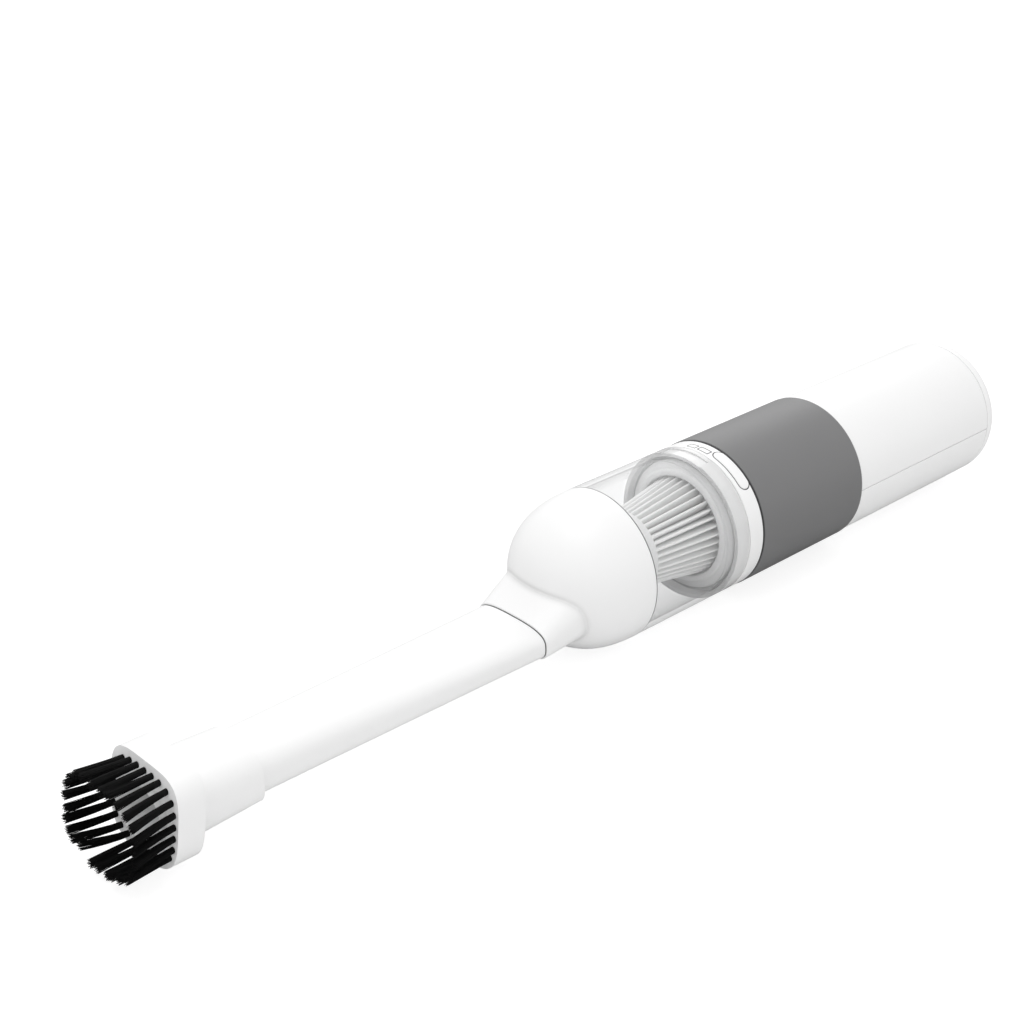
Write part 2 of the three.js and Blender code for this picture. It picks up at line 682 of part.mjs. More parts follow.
// One strip: a quarter of the ring, from corner to corner
function stripOf(side) {
  const shares = Array.from({ length: STRIP_STEPS + 1 }, (_, i) => (
    STRIP_CORNER_SHARE + (1 - 2 * STRIP_CORNER_SHARE) * i / STRIP_STEPS
  ));
  const shifted = (share, grow) => {
    const place = tuftPlace(side, share);
    return place.clone().setLength(place.length() + grow);
  };
  const points = [
    ...shares.map((share) => shifted(share, STRIP_WIDTH / 2)),
    ...shares.reverse().map((share) => shifted(share, -STRIP_WIDTH / 2)),
  ].map((point) => new THREE.Vector2(point.x, point.y - nozzleDrop));
  return pushedX(new THREE.Shape(points), headFace, headFace + STRIP_DEPTH);
}

// Strand places in a tuft: one in the middle, six round it and six more round those
function strandPlaces() {
  const places = [new THREE.Vector2(0, 0)];
  for (let i = 1; i < TUFT_STRANDS; i += 1) {
    const outerRow = i > STRANDS_ROUND_MIDDLE;
    const angle = 2 * Math.PI * (i + (outerRow ? 1 / 2 : 0)) / STRANDS_ROUND_MIDDLE;
    const radius = outerRow ? STRAND_PITCH * Math.sqrt(3) : STRAND_PITCH;
    places.push(new THREE.Vector2(radius * Math.cos(angle), radius * Math.sin(angle)));
  }
  return places;
}

function strand(foot, tip, reach) {
  const ringAt = (x, centre) => Array.from({ length: STRAND_SIDES }, (_, i) => {
    const angle = 2 * Math.PI * i / STRAND_SIDES;
    return new THREE.Vector3(
      x,
      centre.x + STRAND_RADIUS * Math.cos(angle),
      centre.y + STRAND_RADIUS * Math.sin(angle) - nozzleDrop,
    );
  });
  return lofted([ringAt(headFace - reach, tip), ringAt(headFace + STRIP_DEPTH / 2, foot)]);
}

// Strands spread evenly from foot to tip, so that none crosses its neighbour
function makeBristles(side) {
  const solids = [stripOf(side)];
  const tufts = side % 2 === 0 ? TUFTS_UPRIGHT_SIDE : TUFTS_LEVEL_SIDE;
  for (let tuft = 0; tuft < tufts; tuft += 1) {
    const centre = tuftPlace(side, (tuft + 1 / 2) / tufts);
    const turn = side * tufts + tuft;
    const lean = new THREE.Vector2(Math.sin(turn * LEAN_ACROSS_PHASE), Math.cos(turn * LEAN_UPRIGHT_PHASE))
      .multiplyScalar(BRISTLE_LEAN);
    const tipCentre = centre.clone().setLength(centre.length() + BRISTLE_SPREAD).add(lean);
    strandPlaces().forEach((place, i) => {
      const foot = centre.clone().add(place);
      const tip = tipCentre.clone().add(place);
      const wave = Math.sin(turn * UNEVEN_TUFT_PHASE + i * UNEVEN_STRAND_PHASE);
      const reach = BRISTLE_LENGTH + BRISTLE_UNEVEN * wave;
      solids.push(strand(foot, tip, reach));
    });
  }
  return wasm.Manifold.union(solids);
}

// Clear cup with the neck that the lock ring holds
const neckRadius = CUP_RADIUS - NECK_INSET;
const neckRear = CUP_LENGTH + NECK_LENGTH;
const sealFront = neckRear + CLEARANCE;
const spigotFront = sealFront + SEAL_THICKNESS + CLEARANCE;

function makeCup() {
  const front = CLEARANCE / 2;
  const inner = CUP_RADIUS - CUP_WALL;
  const neckInner = neckRadius - NECK_WALL;
  return turned([
    [front, CUP_RADIUS],
    [CUP_LENGTH, CUP_RADIUS],
    [CUP_LENGTH, neckRadius],
    [neckRear, neckRadius],
    [neckRear, neckInner],
    [CUP_LENGTH - CUP_WALL, neckInner],
    [CUP_LENGTH - 2 * CUP_WALL, inner],
    [front, inner],
  ]);
}

function makeCupSeal() {
  const inner = neckRadius - NECK_WALL;
  return tube(sealFront, sealFront + SEAL_THICKNESS, neckRadius, inner, INNER_ROUND_STEPS);
}

// Lock ring, whose lugs lie behind the collar's
const lockRingBore = neckRadius + CLEARANCE;
const lockLugTip = lockRingBore - LUG_HEIGHT;
const collarLugTip = lockLugTip + LUG_ENGAGEMENT;
const spigotRadius = lockLugTip - CLEARANCE;
const spigotInner = spigotRadius - NECK_WALL;

function lugs(x0, x1, inner, outer) {
  const blocks = Array.from({ length: LUG_COUNT }, (_, i) => {
    const start = LUG_FIRST_ANGLE + 360 * i / LUG_COUNT;
    return wallBlock(x0, x1, inner, outer, start, start + LUG_ANGLE);
  });
  return blocks.reduce((all, block) => all.add(block));
}

function makeLockRing() {
  const body = tube(lockRingFront, lockRingRear, CUP_RADIUS, lockRingBore);
  const lugFront = spigotFront + LUG_THICKNESS + CLEARANCE;
  const teeth = lugs(lugFront, lockRingRear, lockLugTip, lockRingBore + CLEARANCE);
  const thumbPad = wallBlock(
    lockRingFront - CUT_OVERRUN,
    lockRingFront + THUMB_PAD_LENGTH,
    CUP_RADIUS - THUMB_PAD_DEPTH,
    CUP_RADIUS + CUT_OVERRUN,
    THUMB_PAD_START,
    THUMB_PAD_END,
  );
  return body.add(teeth).subtract(thumbPad);
}

// Collar ring: bayonet spigot in front, latch window in the wall, skirt behind
const collarBore = CUP_RADIUS - COLLAR_WALL;
const skirtOuter = handleRadius - SHELL_WALL - SHELL_WALL - CLEARANCE;
const latchX = collarRear - LATCH_WIDTH / 2 - LATCH_REAR_MARGIN;
const latchFloor = CUP_RADIUS + LATCH_PROUD - LATCH_HEIGHT - LATCH_TRAVEL - CLEARANCE;

function makeCollar() {
  const skirtInner = skirtOuter - COLLAR_SKIRT_WALL;
  const body = turned([
    [spigotFront, spigotRadius],
    [collarFront, spigotRadius],
    [collarFront, CUP_RADIUS],
    [collarRear, CUP_RADIUS],
    [collarRear, skirtOuter],
    [collarRear + COLLAR_SKIRT_LENGTH, skirtOuter],
    [collarRear + COLLAR_SKIRT_LENGTH, skirtInner],
    [collarRear, collarBore],
    [collarFront, collarBore],
    [collarFront, spigotInner],
    [spigotFront, spigotInner],
  ]);
  const teeth = lugs(spigotFront, spigotFront + LUG_THICKNESS, spigotRadius - CLEARANCE, collarLugTip);
  const window = pillPost(
    latchX,
    LATCH_ANGLE,
    LATCH_LENGTH + 2 * SLIDING_FIT,
    LATCH_WIDTH + 2 * SLIDING_FIT,
    0,
    CUP_RADIUS + CUT_OVERRUN,
  ).intersect(tube(collarFront, collarRear + CUT_OVERRUN, CUP_RADIUS + 2 * CUT_OVERRUN, latchFloor));
  return body.add(teeth).subtract(window);
}

function makeLatchButton() {
  const top = CUP_RADIUS + LATCH_PROUD;
  const post = pillPost(latchX, LATCH_ANGLE, LATCH_LENGTH, LATCH_WIDTH, 0, CUP_RADIUS + CUT_OVERRUN);
  const band = tube(collarFront, bandFront + CUT_OVERRUN, top, top - LATCH_HEIGHT);
  return post.intersect(band);
}

// Filter: pleated cone between a nose cap and a flanged base that plugs into the seat
const flangeRadius = neckRadius - NECK_WALL - FILTER_FLANGE_MARGIN;
const filterPlugRadius = flangeRadius - FILTER_SHOULDER;
const pleatRearRadius = flangeRadius - PLEAT_MARGIN;
const pleatFrontRadius = pleatRearRadius - PLEAT_TAPER;
const filterBore = pleatRearRadius - PLEAT_DEPTH_REAR - FILTER_BORE_LIP;
const flangeRear = collarFront - CLEARANCE - FILTER_SEAL_THICKNESS;
const flangeFront = flangeRear - FILTER_FLANGE_THICKNESS;
const pleatRear = flangeFront - CLEARANCE;
const pleatFront = pleatRear - PLEAT_LENGTH;
const capRear = pleatFront - CLEARANCE;

function pleatRing(x, ridgeRadius, depth) {
  const pleatShares = [
    [-PLEAT_RIDGE_SHARE, 0],
    [PLEAT_RIDGE_SHARE, 0],
    [1 / 2, 1],
  ];
  const points = [];
  for (let pleat = 0; pleat < PLEATS; pleat += 1) {
    for (const [shift, deep] of pleatShares) {
      const angle = 2 * Math.PI * (pleat + shift) / PLEATS;
      const radius = ridgeRadius - deep * depth;
      points.push(new THREE.Vector3(x, radius * Math.cos(angle), radius * Math.sin(angle)));
    }
  }
  return points;
}

function makePleats() {
  return lofted([
    pleatRing(pleatFront, pleatFrontRadius, PLEAT_DEPTH_FRONT),
    pleatRing(pleatRear, pleatRearRadius, PLEAT_DEPTH_REAR),
    pleatRing(pleatRear, pleatRearRadius - PLEAT_PAPER, PLEAT_DEPTH_REAR),
    pleatRing(pleatFront, pleatFrontRadius - PLEAT_PAPER, PLEAT_DEPTH_FRONT),
  ], true);
}

function makeFilterCap() {
  const radius = pleatFrontRadius + FILTER_CAP_LIP;
  const front = capRear - FILTER_CAP_LENGTH;
  const edge = FILTER_CAP_EDGE;
  return turned([
    [front, 0],
    ...arcPoints(front + edge, radius - edge, -edge, edge, 0, 1, EDGE_STEPS),
    [capRear, radius],
    [capRear, 0],
  ]);
}

function makeFilterBase() {
  const edge = FILTER_FLANGE_EDGE;
  const plugRear = flangeRear + FILTER_PLUG_LENGTH;
  const plugInner = filterPlugRadius - FILTER_PLUG_WALL;
  return turned([
    [flangeFront, pleatRearRadius + edge],
    [flangeFront, flangeRadius - edge],
    ...arcPoints(flangeFront + edge, flangeRadius - edge, -edge, edge, 0, 1, EDGE_STEPS).slice(1),
    [flangeRear, flangeRadius],
    [flangeRear, filterPlugRadius],
    [plugRear, filterPlugRadius],
    [plugRear, plugInner],
    [flangeRear, plugInner],
    [flangeRear, filterBore],
    [flangeFront, filterBore],
  ]);
}

// Seat plate, its tube and the guard in front of the fan
const seatBore = filterPlugRadius - SEAT_GUARD_LIP;
const seatTubeInner = filterPlugRadius + CLEARANCE;
const seatTubeFront = flangeRear + FILTER_SEAL_THICKNESS + 2 * CLEARANCE;
const seatFront = seatTubeFront + SEAT_TUBE_LENGTH;
const seatRear = seatFront + SEAT_PLATE;

function makeFilterSeal() {
  const inner = seatTubeInner;
  const front = flangeRear + CLEARANCE;
  return tube(front, front + FILTER_SEAL_THICKNESS, inner + FILTER_SEAL_WIDTH, inner, INNER_ROUND_STEPS);
}

function makeSeat() {
  const outer = collarBore - CLEARANCE;
  const plate = turned([
    [seatTubeFront, seatTubeInner],
    [seatTubeFront, seatTubeInner + SEAT_TUBE_WALL],
    [seatFront, seatTubeInner + SEAT_TUBE_WALL],
    [seatFront, outer],
    [seatRear, outer],
    [seatRear, seatBore],
    [seatFront, seatBore],
    [seatFront, seatTubeInner],
  ], INNER_ROUND_STEPS);
  const hub = tube(seatFront, seatRear, SEAT_HUB_RADIUS, SEAT_HUB_BORE, SMALL_ROUND_STEPS);
  const spokes = Array.from({ length: SEAT_SPOKES }, (_, i) => {
    const half = SEAT_SPOKE_WIDTH / 2;
    const inner = (SEAT_HUB_RADIUS + SEAT_HUB_BORE) / 2;
    const spoke = box(seatFront, seatRear, inner, seatBore + half, -half, half);
    return spoke.rotate([360 * i / SEAT_SPOKES, 0, 0]);
  });
  return spokes.reduce((all, spoke) => all.add(spoke), plate.add(hub));
}

// Fan shroud, fan, shaft and motor
const shroudRadius = bandRadius - BAND_WALL - CLEARANCE - SHELL_WALL - SHROUD_MARGIN;
const fanRadius = shroudRadius - SHROUD_WALL - FAN_RIM_GAP;
const shroudFront = seatRear + CLEARANCE;
const shroudRear = shroudFront + SHROUD_DEPTH;
const mountFront = shroudRear + CLEARANCE;
const mountRear = mountFront + MOUNT_THICKNESS;
const bladeFront = shroudFront + SHROUD_WALL + FAN_GAP;
const fanPlateFront = bladeFront + FAN_BLADE_HEIGHT;
const fanPlateRear = fanPlateFront + FAN_PLATE;
const motorFront = mountFront;
const motorRear = motorFront + MOTOR_LENGTH;
const motorCapFront = motorRear + CLEARANCE;
const shaftBore = SHAFT_RADIUS + CLEARANCE;

function makeShroud() {
  const [outer, inner] = [shroudRadius, shroudRadius - SHROUD_WALL];
  return turned([
    [shroudFront, SHROUD_INLET_RADIUS],
    [shroudFront, outer - SHROUD_WALL],
    [shroudFront + SHROUD_WALL, outer],
    [shroudRear, outer],
    [shroudRear, inner],
    [shroudFront + SHROUD_WALL, inner],
    [shroudFront + SHROUD_WALL, SHROUD_INLET_RADIUS],
  ], INNER_ROUND_STEPS);
}

// A blade that sweeps back as it runs out to the rim
function fanBlade(index) {
  const start = 360 * index / FAN_BLADES;
  const edge = (offset) => Array.from({ length: FAN_BLADE_STEPS + 1 }, (_, i) => {
    const share = i / FAN_BLADE_STEPS;
    const radius = FAN_BLADE_ROOT_RADIUS + (fanRadius - FAN_BLADE_ROOT_RADIUS) * share;
    const slip = THREE.MathUtils.radToDeg(offset / radius);
    return around(start + FAN_BLADE_SWEEP * share + slip, radius);
  });
  const half = FAN_BLADE_THICKNESS / 2;
  const outline = new THREE.Shape([...edge(-half), ...edge(half).reverse()]);
  return pushedX(outline, bladeFront, fanPlateFront + FAN_PLATE / 2);
}

function makeFan() {
  const plate = tube(fanPlateFront, fanPlateRear, fanRadius, shaftBore, INNER_ROUND_STEPS);
  const hub = tube(fanPlateRear - FAN_HUB_LENGTH, fanPlateRear, FAN_HUB_RADIUS, shaftBore, SMALL_ROUND_STEPS);
  const blades = Array.from({ length: FAN_BLADES }, (_, i) => fanBlade(i));
  return blades.reduce((all, blade) => all.add(blade), plate.add(hub));
}

const shaftFront = fanPlateRear - FAN_HUB_LENGTH - SHAFT_FRONT_REACH;
const makeShaft = () => rod(shaftFront, motorCapFront + MOTOR_CAP_BORE_DEPTH - CLEARANCE, SHAFT_RADIUS);

function makeMotor() {
  const nose = motorFront - MOTOR_NOSE_LENGTH;
  return turned([
    [nose, shaftBore],
    [nose, MOTOR_NOSE_RADIUS],
    [motorFront, MOTOR_NOSE_RADIUS],
    [motorFront, MOTOR_RADIUS - MOTOR_EDGE],
    [motorFront + MOTOR_EDGE, MOTOR_RADIUS],
    [motorRear, MOTOR_RADIUS],
    [motorRear, shaftBore],
  ], SMALL_ROUND_STEPS);
}

function makeMotorCap() {
  const rear = motorCapFront + MOTOR_CAP_LENGTH;
  return turned([
    [motorCapFront, shaftBore],
    [motorCapFront, MOTOR_CAP_RADIUS],
    [rear - MOTOR_EDGE, MOTOR_CAP_RADIUS],
    [rear, MOTOR_CAP_RADIUS - MOTOR_EDGE],
    [rear, 0],
    [motorCapFront + MOTOR_CAP_BORE_DEPTH, 0],
    [motorCapFront + MOTOR_CAP_BORE_DEPTH, shaftBore],
  ], SMALL_ROUND_STEPS);
}

function makeMount() {
  const outer = shellInnerFront - CLEARANCE;
  const inner = MOTOR_RADIUS + CLEARANCE;
  const ring = tube(mountFront, mountRear, outer, inner, INNER_ROUND_STEPS);
  const middle = (outer + inner) / 2;
  const holes = Array.from({ length: MOUNT_HOLES }, (_, i) => {
    const hole = rod(mountFront - CUT_OVERRUN, mountRear + CUT_OVERRUN, MOUNT_HOLE_RADIUS, HOLE_STEPS);
    return hole.translate([0, middle, 0]).rotate([360 * i / MOUNT_HOLES, 0, 0]);
  });
  return holes.reduce((rest, hole) => rest.subtract(hole), ring);
}

// Handle shells, the band round their front and the end cap behind
const shellFront = bandFront;
const shellOuterFront = bandRadius - BAND_WALL - CLEARANCE;
const shellInnerFront = shellOuterFront - SHELL_WALL;
const shellInner = handleRadius - SHELL_WALL;

function shellTube() {
  return turned([
    [shellFront, shellOuterFront],
    [shellStep, shellOuterFront],
    [shellStep, handleRadius],
    [shellRear, handleRadius],
    [shellRear, shellInner],
    [shellStep + SHELL_WALL, shellInner],
    [shellStep, shellInnerFront],
    [shellFront, shellInnerFront],
  ]);
}

// One half of the shell: the parting plane leaves half the clearance on each side
function halfShell(side) {
  const reach = handleRadius + CUT_OVERRUN;
  const edge = side * CLEARANCE / 2;
  const [z0, z1] = side > 0 ? [edge, reach] : [-reach, edge];
  return shellTube().intersect(box(shellFront - CUT_OVERRUN, shellRear + CUT_OVERRUN, -reach, reach, z0, z1));
}

function postAcross(centreX, centreZ, length, width, y0, y1) {
  const geometry = new THREE.ExtrudeGeometry(pill(length, width), {
    depth: y1 - y0,
    bevelEnabled: false,
    curveSegments: PILL_STEPS,
  });
  const turn = new THREE.Matrix4().makeBasis(
    new THREE.Vector3(1, 0, 0),
    new THREE.Vector3(0, 0, -1),
    new THREE.Vector3(0, 1, 0),
  );
  return solidOf(geometry.applyMatrix4(turn).translate(centreX, y0, centreZ));
}

const buttonX = shellStep + BUTTON_OFFSET;
const buttonZ = handleRadius * BUTTON_RISE_SHARE;
const lightX = buttonX + LIGHT_OFFSET;
const wallAt = (radius) => Math.sqrt(radius ** 2 - buttonZ ** 2);

function makeUpperShell() {
  const fit = 2 * SLIDING_FIT;
  const outside = handleRadius + CUT_OVERRUN;
  const window = postAcross(buttonX, buttonZ, BUTTON_LENGTH + fit, BUTTON_WIDTH + fit, 0, outside);
  const lightSize = 2 * LIGHT_RADIUS + fit;
  const lightHole = postAcross(lightX, buttonZ, lightSize, lightSize, 0, outside);
  return halfShell(1).subtract(window).subtract(lightHole);
}

function makePowerButton() {
  const outside = handleRadius + BUTTON_PROUD;
  const face = wallAt(outside);
  const stemEnd = switchFace + BUTTON_TRAVEL + CLEARANCE;
  const [inner, outer] = [face - (face - stemEnd) * BUTTON_DEPTH_SHARE, outside + CUT_OVERRUN];
  const post = postAcross(buttonX, buttonZ, BUTTON_LENGTH, BUTTON_WIDTH, inner, outer);
  const stem = postAcross(buttonX, buttonZ, BUTTON_STEM, BUTTON_STEM, stemEnd, face);
  return post.add(stem).intersect(rod(shellStep, shellRear, outside, ROUND_STEPS));
}

function makeLight() {
  const size = 2 * LIGHT_RADIUS;
  const face = wallAt(handleRadius);
  const post = postAcross(lightX, buttonZ, size, size, face - LIGHT_LENGTH, handleRadius);
  return post.intersect(rod(shellStep, shellRear, handleRadius, ROUND_STEPS));
}

const makeBand = () => tube(bandFront, bandRear, bandRadius, bandRadius - BAND_WALL);

function makeFoot(side) {
  const front = shellStep + FOOT_OFFSET;
  const [inner, outer] = [FOOT_SPREAD - FOOT_WIDTH / 2, FOOT_SPREAD + FOOT_WIDTH / 2];
  const profile = [
    new THREE.Vector2(side * inner, 0),
    new THREE.Vector2(side * outer, 0),
    new THREE.Vector2(side * outer, floorZ + FOOT_ROUNDING),
    new THREE.Vector2(side * (outer - FOOT_ROUNDING), floorZ),
    new THREE.Vector2(side * (inner + FOOT_ROUNDING), floorZ),
    new THREE.Vector2(side * inner, floorZ + FOOT_ROUNDING),
  ];
  if (THREE.ShapeUtils.area(profile) < 0) profile.reverse();
  const rib = pushedX(new THREE.Shape(profile), front, front + FOOT_LENGTH);
  const [x0, x1] = [front - CUT_OVERRUN, front + FOOT_LENGTH + CUT_OVERRUN];
  return rib.subtract(rod(x0, x1, handleRadius + CLEARANCE, ROUND_STEPS));
}

// Battery cells side by side in a cradle that stands on the lower shell
const cradleFront = shellStep + CRADLE_OFFSET;
const cellFront = cradleFront + CRADLE_END_WALL + CLEARANCE + CELL_NIPPLE_LENGTH;
const cellRear = cellFront + CELL_LENGTH;
const cradleRear = cellRear + CLEARANCE + CRADLE_END_WALL;
const cellY = CELL_RADIUS + CELL_GAP / 2;
const cradleHalfWidth = 2 * CELL_RADIUS + CELL_GAP / 2 + CLEARANCE + CRADLE_WALL;
const cradleTop = CELL_RADIUS + BOARD_HEADROOM;

function makeCell(side) {
  const cell = turned([
    [cellFront - CELL_NIPPLE_LENGTH, 0],
    [cellFront - CELL_NIPPLE_LENGTH, CELL_NIPPLE_RADIUS],
    [cellFront, CELL_NIPPLE_RADIUS],
    [cellFront, CELL_RADIUS - CELL_EDGE],
    [cellFront + CELL_EDGE, CELL_RADIUS],
    [cellRear - CELL_EDGE, CELL_RADIUS],
    [cellRear, CELL_RADIUS - CELL_EDGE],
    [cellRear, 0],
  ], SMALL_ROUND_STEPS);
  return cell.translate([0, side * cellY, 0]);
}

function makeCradle() {
  const bottom = -CELL_RADIUS - CLEARANCE - CRADLE_WALL;
  const hull = box(cradleFront, cradleRear, -cradleHalfWidth, cradleHalfWidth, bottom, cradleTop);
  const room = box(
    cradleFront + CRADLE_END_WALL,
    cradleRear - CRADLE_END_WALL,
    -cradleHalfWidth + CRADLE_WALL,
    cradleHalfWidth - CRADLE_WALL,
    0,
    cradleTop + CUT_OVERRUN,
  );
  const troughs = [-1, 1].map((side) => rod(
    cradleFront + CRADLE_END_WALL,
    cradleRear - CRADLE_END_WALL,
    CELL_RADIUS + CLEARANCE,
  ).translate([0, side * cellY, 0]));
  const legY = cradleHalfWidth - CRADLE_LEG_INSET;
  const legs = [-1, 1].map((side) => {
    const [inner, outer] = [side * (legY - CRADLE_LEG_WIDTH), side * legY];
    const leg = box(
      cradleFront,
      cradleRear,
      Math.min(inner, outer),
      Math.max(inner, outer),
      -shellInner,
      bottom + CRADLE_WALL / 2,
    );
    return leg.intersect(rod(cradleFront, cradleRear, shellInner - CLEARANCE, ROUND_STEPS));
  });
  const cut = troughs.reduce((rest, trough) => rest.subtract(trough), hull.subtract(room));
  return legs.reduce((all, leg) => all.add(leg), cut);
}

// Circuit board on the cradle's walls, with the switch and the charging socket on it
const boardBottom = cradleTop + CLEARANCE;
const boardTop = boardBottom + BOARD_THICKNESS;
const boardRear = shellRear - BOARD_REAR_GAP;
const switchFace = cradleHalfWidth - SWITCH_TIP_REACH;
const socketRear = endCapRear - SOCKET_FLUSH_DEPTH;
const socketFront = socketRear - SOCKET_LENGTH;
const socketZ = boardTop + CLEARANCE + SOCKET_HEIGHT / 2;

function makeBoard() {
  const shape = new THREE.Shape();
  const [x0, x1, y, corner] = [cradleFront, boardRear, cradleHalfWidth, BOARD_CORNER];
  shape.moveTo(x0 + corner, -y);
  shape.lineTo(x1 - corner, -y);
  shape.lineTo(x1, -y + corner);
  shape.lineTo(x1, y - corner);
  shape.lineTo(x1 - corner, y);
  shape.lineTo(x0 + corner, y);
  shape.lineTo(x0, y - corner);
  shape.lineTo(x0, -y + corner);
  const geometry = new THREE.ExtrudeGeometry(shape, { depth: BOARD_THICKNESS, bevelEnabled: false });
  return solidOf(geometry.translate(0, 0, boardBottom));
}

function makeSwitch() {
  const base = boardTop + CLEARANCE;
  const half = SWITCH_SIZE / 2;
  const bodyFace = switchFace - SWITCH_TIP_REACH;
  const [x0, x1] = [buttonX - half, buttonX + half];
  const body = box(x0, x1, bodyFace - SWITCH_DEPTH, bodyFace, base, buttonZ + half);
  const tip = postAcross(
    buttonX,
    buttonZ,
    2 * SWITCH_TIP_RADIUS,
    2 * SWITCH_TIP_RADIUS,
    bodyFace - SWITCH_TIP_REACH,
    switchFace,
  );
  return body.add(tip);
}

function roundedSlot(halfWidth, height, centreZ, x0, x1) {
  const shape = pill(2 * halfWidth, height);
  return pushedX(shape, x0, x1).translate([0, 0, centreZ]);
}

function makeSocket() {
  const shell = roundedSlot(SOCKET_WIDTH / 2, SOCKET_HEIGHT, socketZ, socketFront, socketRear);
  const mouth = roundedSlot(
    SOCKET_WIDTH / 2 - SOCKET_WALL,
    SOCKET_HEIGHT - 2 * SOCKET_WALL,
    socketZ,
    socketRear - SOCKET_BORE_DEPTH,
    socketRear + CUT_OVERRUN,
  );
  return shell.subtract(mouth);
}

function makeEndCap() {
  const inner = shellInner - CLEARANCE;
  const lapInner = inner - END_CAP_LAP_WALL;
  const round = END_CAP_ROUNDING;
  const wallFace = endCapRear - END_CAP_WALL;
  const wallRadius = handleRadius - round;
  const rim = turned([
    [endCapFront, inner],
    [endCapFront, handleRadius],
    ...arcPoints(endCapRear - round, wallRadius, round, round, 1, 0, EDGE_CORNER_STEPS),
    [endCapRear, wallRadius - round / 2],
    [wallFace, wallRadius - round / 2],
    [wallFace - round / 2, lapInner],
    [endCapFront - END_CAP_LAP, lapInner],
    [endCapFront - END_CAP_LAP, inner],
  ]);
  const rimAngles = Array.from({ length: ROUND_STEPS }, (_, i) => 360 * i / ROUND_STEPS);
  const wall = new THREE.Shape(rimAngles.map((angle) => around(angle, wallRadius)));
  for (let i = 0; i < SLOT_COUNT; i += 1) {
    const z = slotFieldTop - SLOT_FIRST_DROP - i * SLOT_PITCH;
    wall.holes.push(slotPath(Math.sqrt(slotFieldRadius ** 2 - z ** 2), SLOT_HEIGHT, z));
  }
  wall.holes.push(slotPath(SOCKET_WIDTH / 2 + SLIDING_FIT, SOCKET_HEIGHT + 2 * SLIDING_FIT, socketZ));
  return rim.add(pushedX(wall, wallFace, endCapRear));
}

function slotPath(halfWidth, height, centreZ) {
  const points = pill(2 * halfWidth, height).getPoints(PILL_STEPS);
  return new THREE.Path(points.map((point) => new THREE.Vector2(point.x, point.y + centreZ)));
}

const slotFieldTop = boardBottom - FOAM_TOP_GAP;
const slotFieldRadius = handleRadius - END_CAP_ROUNDING - SLOT_FIELD_MARGIN;

function makeFoam() {
  const rear = endCapRear - END_CAP_WALL - CLEARANCE;
  const radius = handleRadius - 3 / 2 * END_CAP_ROUNDING - CLEARANCE;
  const front = rear - FOAM_THICKNESS;
  const disc = rod(front, rear, radius, INNER_ROUND_STEPS);
  const block = box(front - CUT_OVERRUN, rear + CUT_OVERRUN, -radius, radius, -radius, slotFieldTop);
  return disc.intersect(block);
}

// Assembly, from the nose to the handle's end
addPart('brush_head', makeBrushHead(), whitePlastic());
['right', 'top', 'left', 'bottom'].forEach((name, side) => {
  addPart(`bristles_${name}`, makeBristles(side), blackBristle());
});
addPart('nozzle_tube', makeNozzle(), whitePlastic());
addPart('nose_shell', makeNose(), whitePlastic());
addPart('inlet_flap', makeFlap(), darkRubber());
addPart('flap_pin', makeFlapPin(), steel());
addPart('dust_cup', makeCup(), clearPlastic());
addPart('cup_seal', makeCupSeal(), darkRubber());
addPart('filter_cap', makeFilterCap(), whitePlastic());
addPart('filter_pleats', makePleats(), filterPaper());
addPart('filter_base', makeFilterBase(), whitePlastic());
addPart('filter_seal', makeFilterSeal(), darkRubber());
addPart('lock_ring', makeLockRing(), clearPlastic());
addPart('collar_ring', makeCollar(), whitePlastic());
addPart('release_button', makeLatchButton(), whitePlastic());
addPart('filter_seat', makeSeat(), whitePlastic());
addPart('fan_shroud', makeShroud(), blackPlastic());
addPart('fan', makeFan(), blackPlastic());
addPart('motor_shaft', makeShaft(), steel());
addPart('motor_can', makeMotor(), steel());
addPart('motor_cap', makeMotorCap(), blackPlastic());
addPart('motor_mount', makeMount(), darkRubber());
addPart('grip_band', makeBand(), greyBand());
addPart('upper_shell', makeUpperShell(), whitePlastic());
addPart('lower_shell', halfShell(-1), whitePlastic());
addPart('foot_left', makeFoot(-1), darkRubber());
addPart('foot_right', makeFoot(1), darkRubber());
addPart('power_button', makePowerButton(), whitePlastic());
addPart('status_light', makeLight(), lightLens());
addPart('battery_cell_left', makeCell(-1), cellWrap());
addPart('battery_cell_right', makeCell(1), cellWrap());
addPart('battery_cradle', makeCradle(), blackPlastic());
addPart('circuit_board', makeBoard(), greenBoard());
addPart('power_switch', makeSwitch(), blackPlastic());
addPart('charge_socket', makeSocket(), steel());
addPart('exhaust_foam', makeFoam(), foamGrey());
addPart('end_cap', makeEndCap(), whitePlastic());

export default model;
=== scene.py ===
"""Looks of a cordless hand vacuum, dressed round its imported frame.

The frame gives every body, node and box. Each class below shapes one sub-assembly in metres, in the frame's own
coordinates, and sets it on the body that carries it.
"""

import logging
import math
from dataclasses import dataclass
from enum import Enum
from typing import Callable, Sequence

import bmesh
import bpy
from mathutils import Matrix, Vector


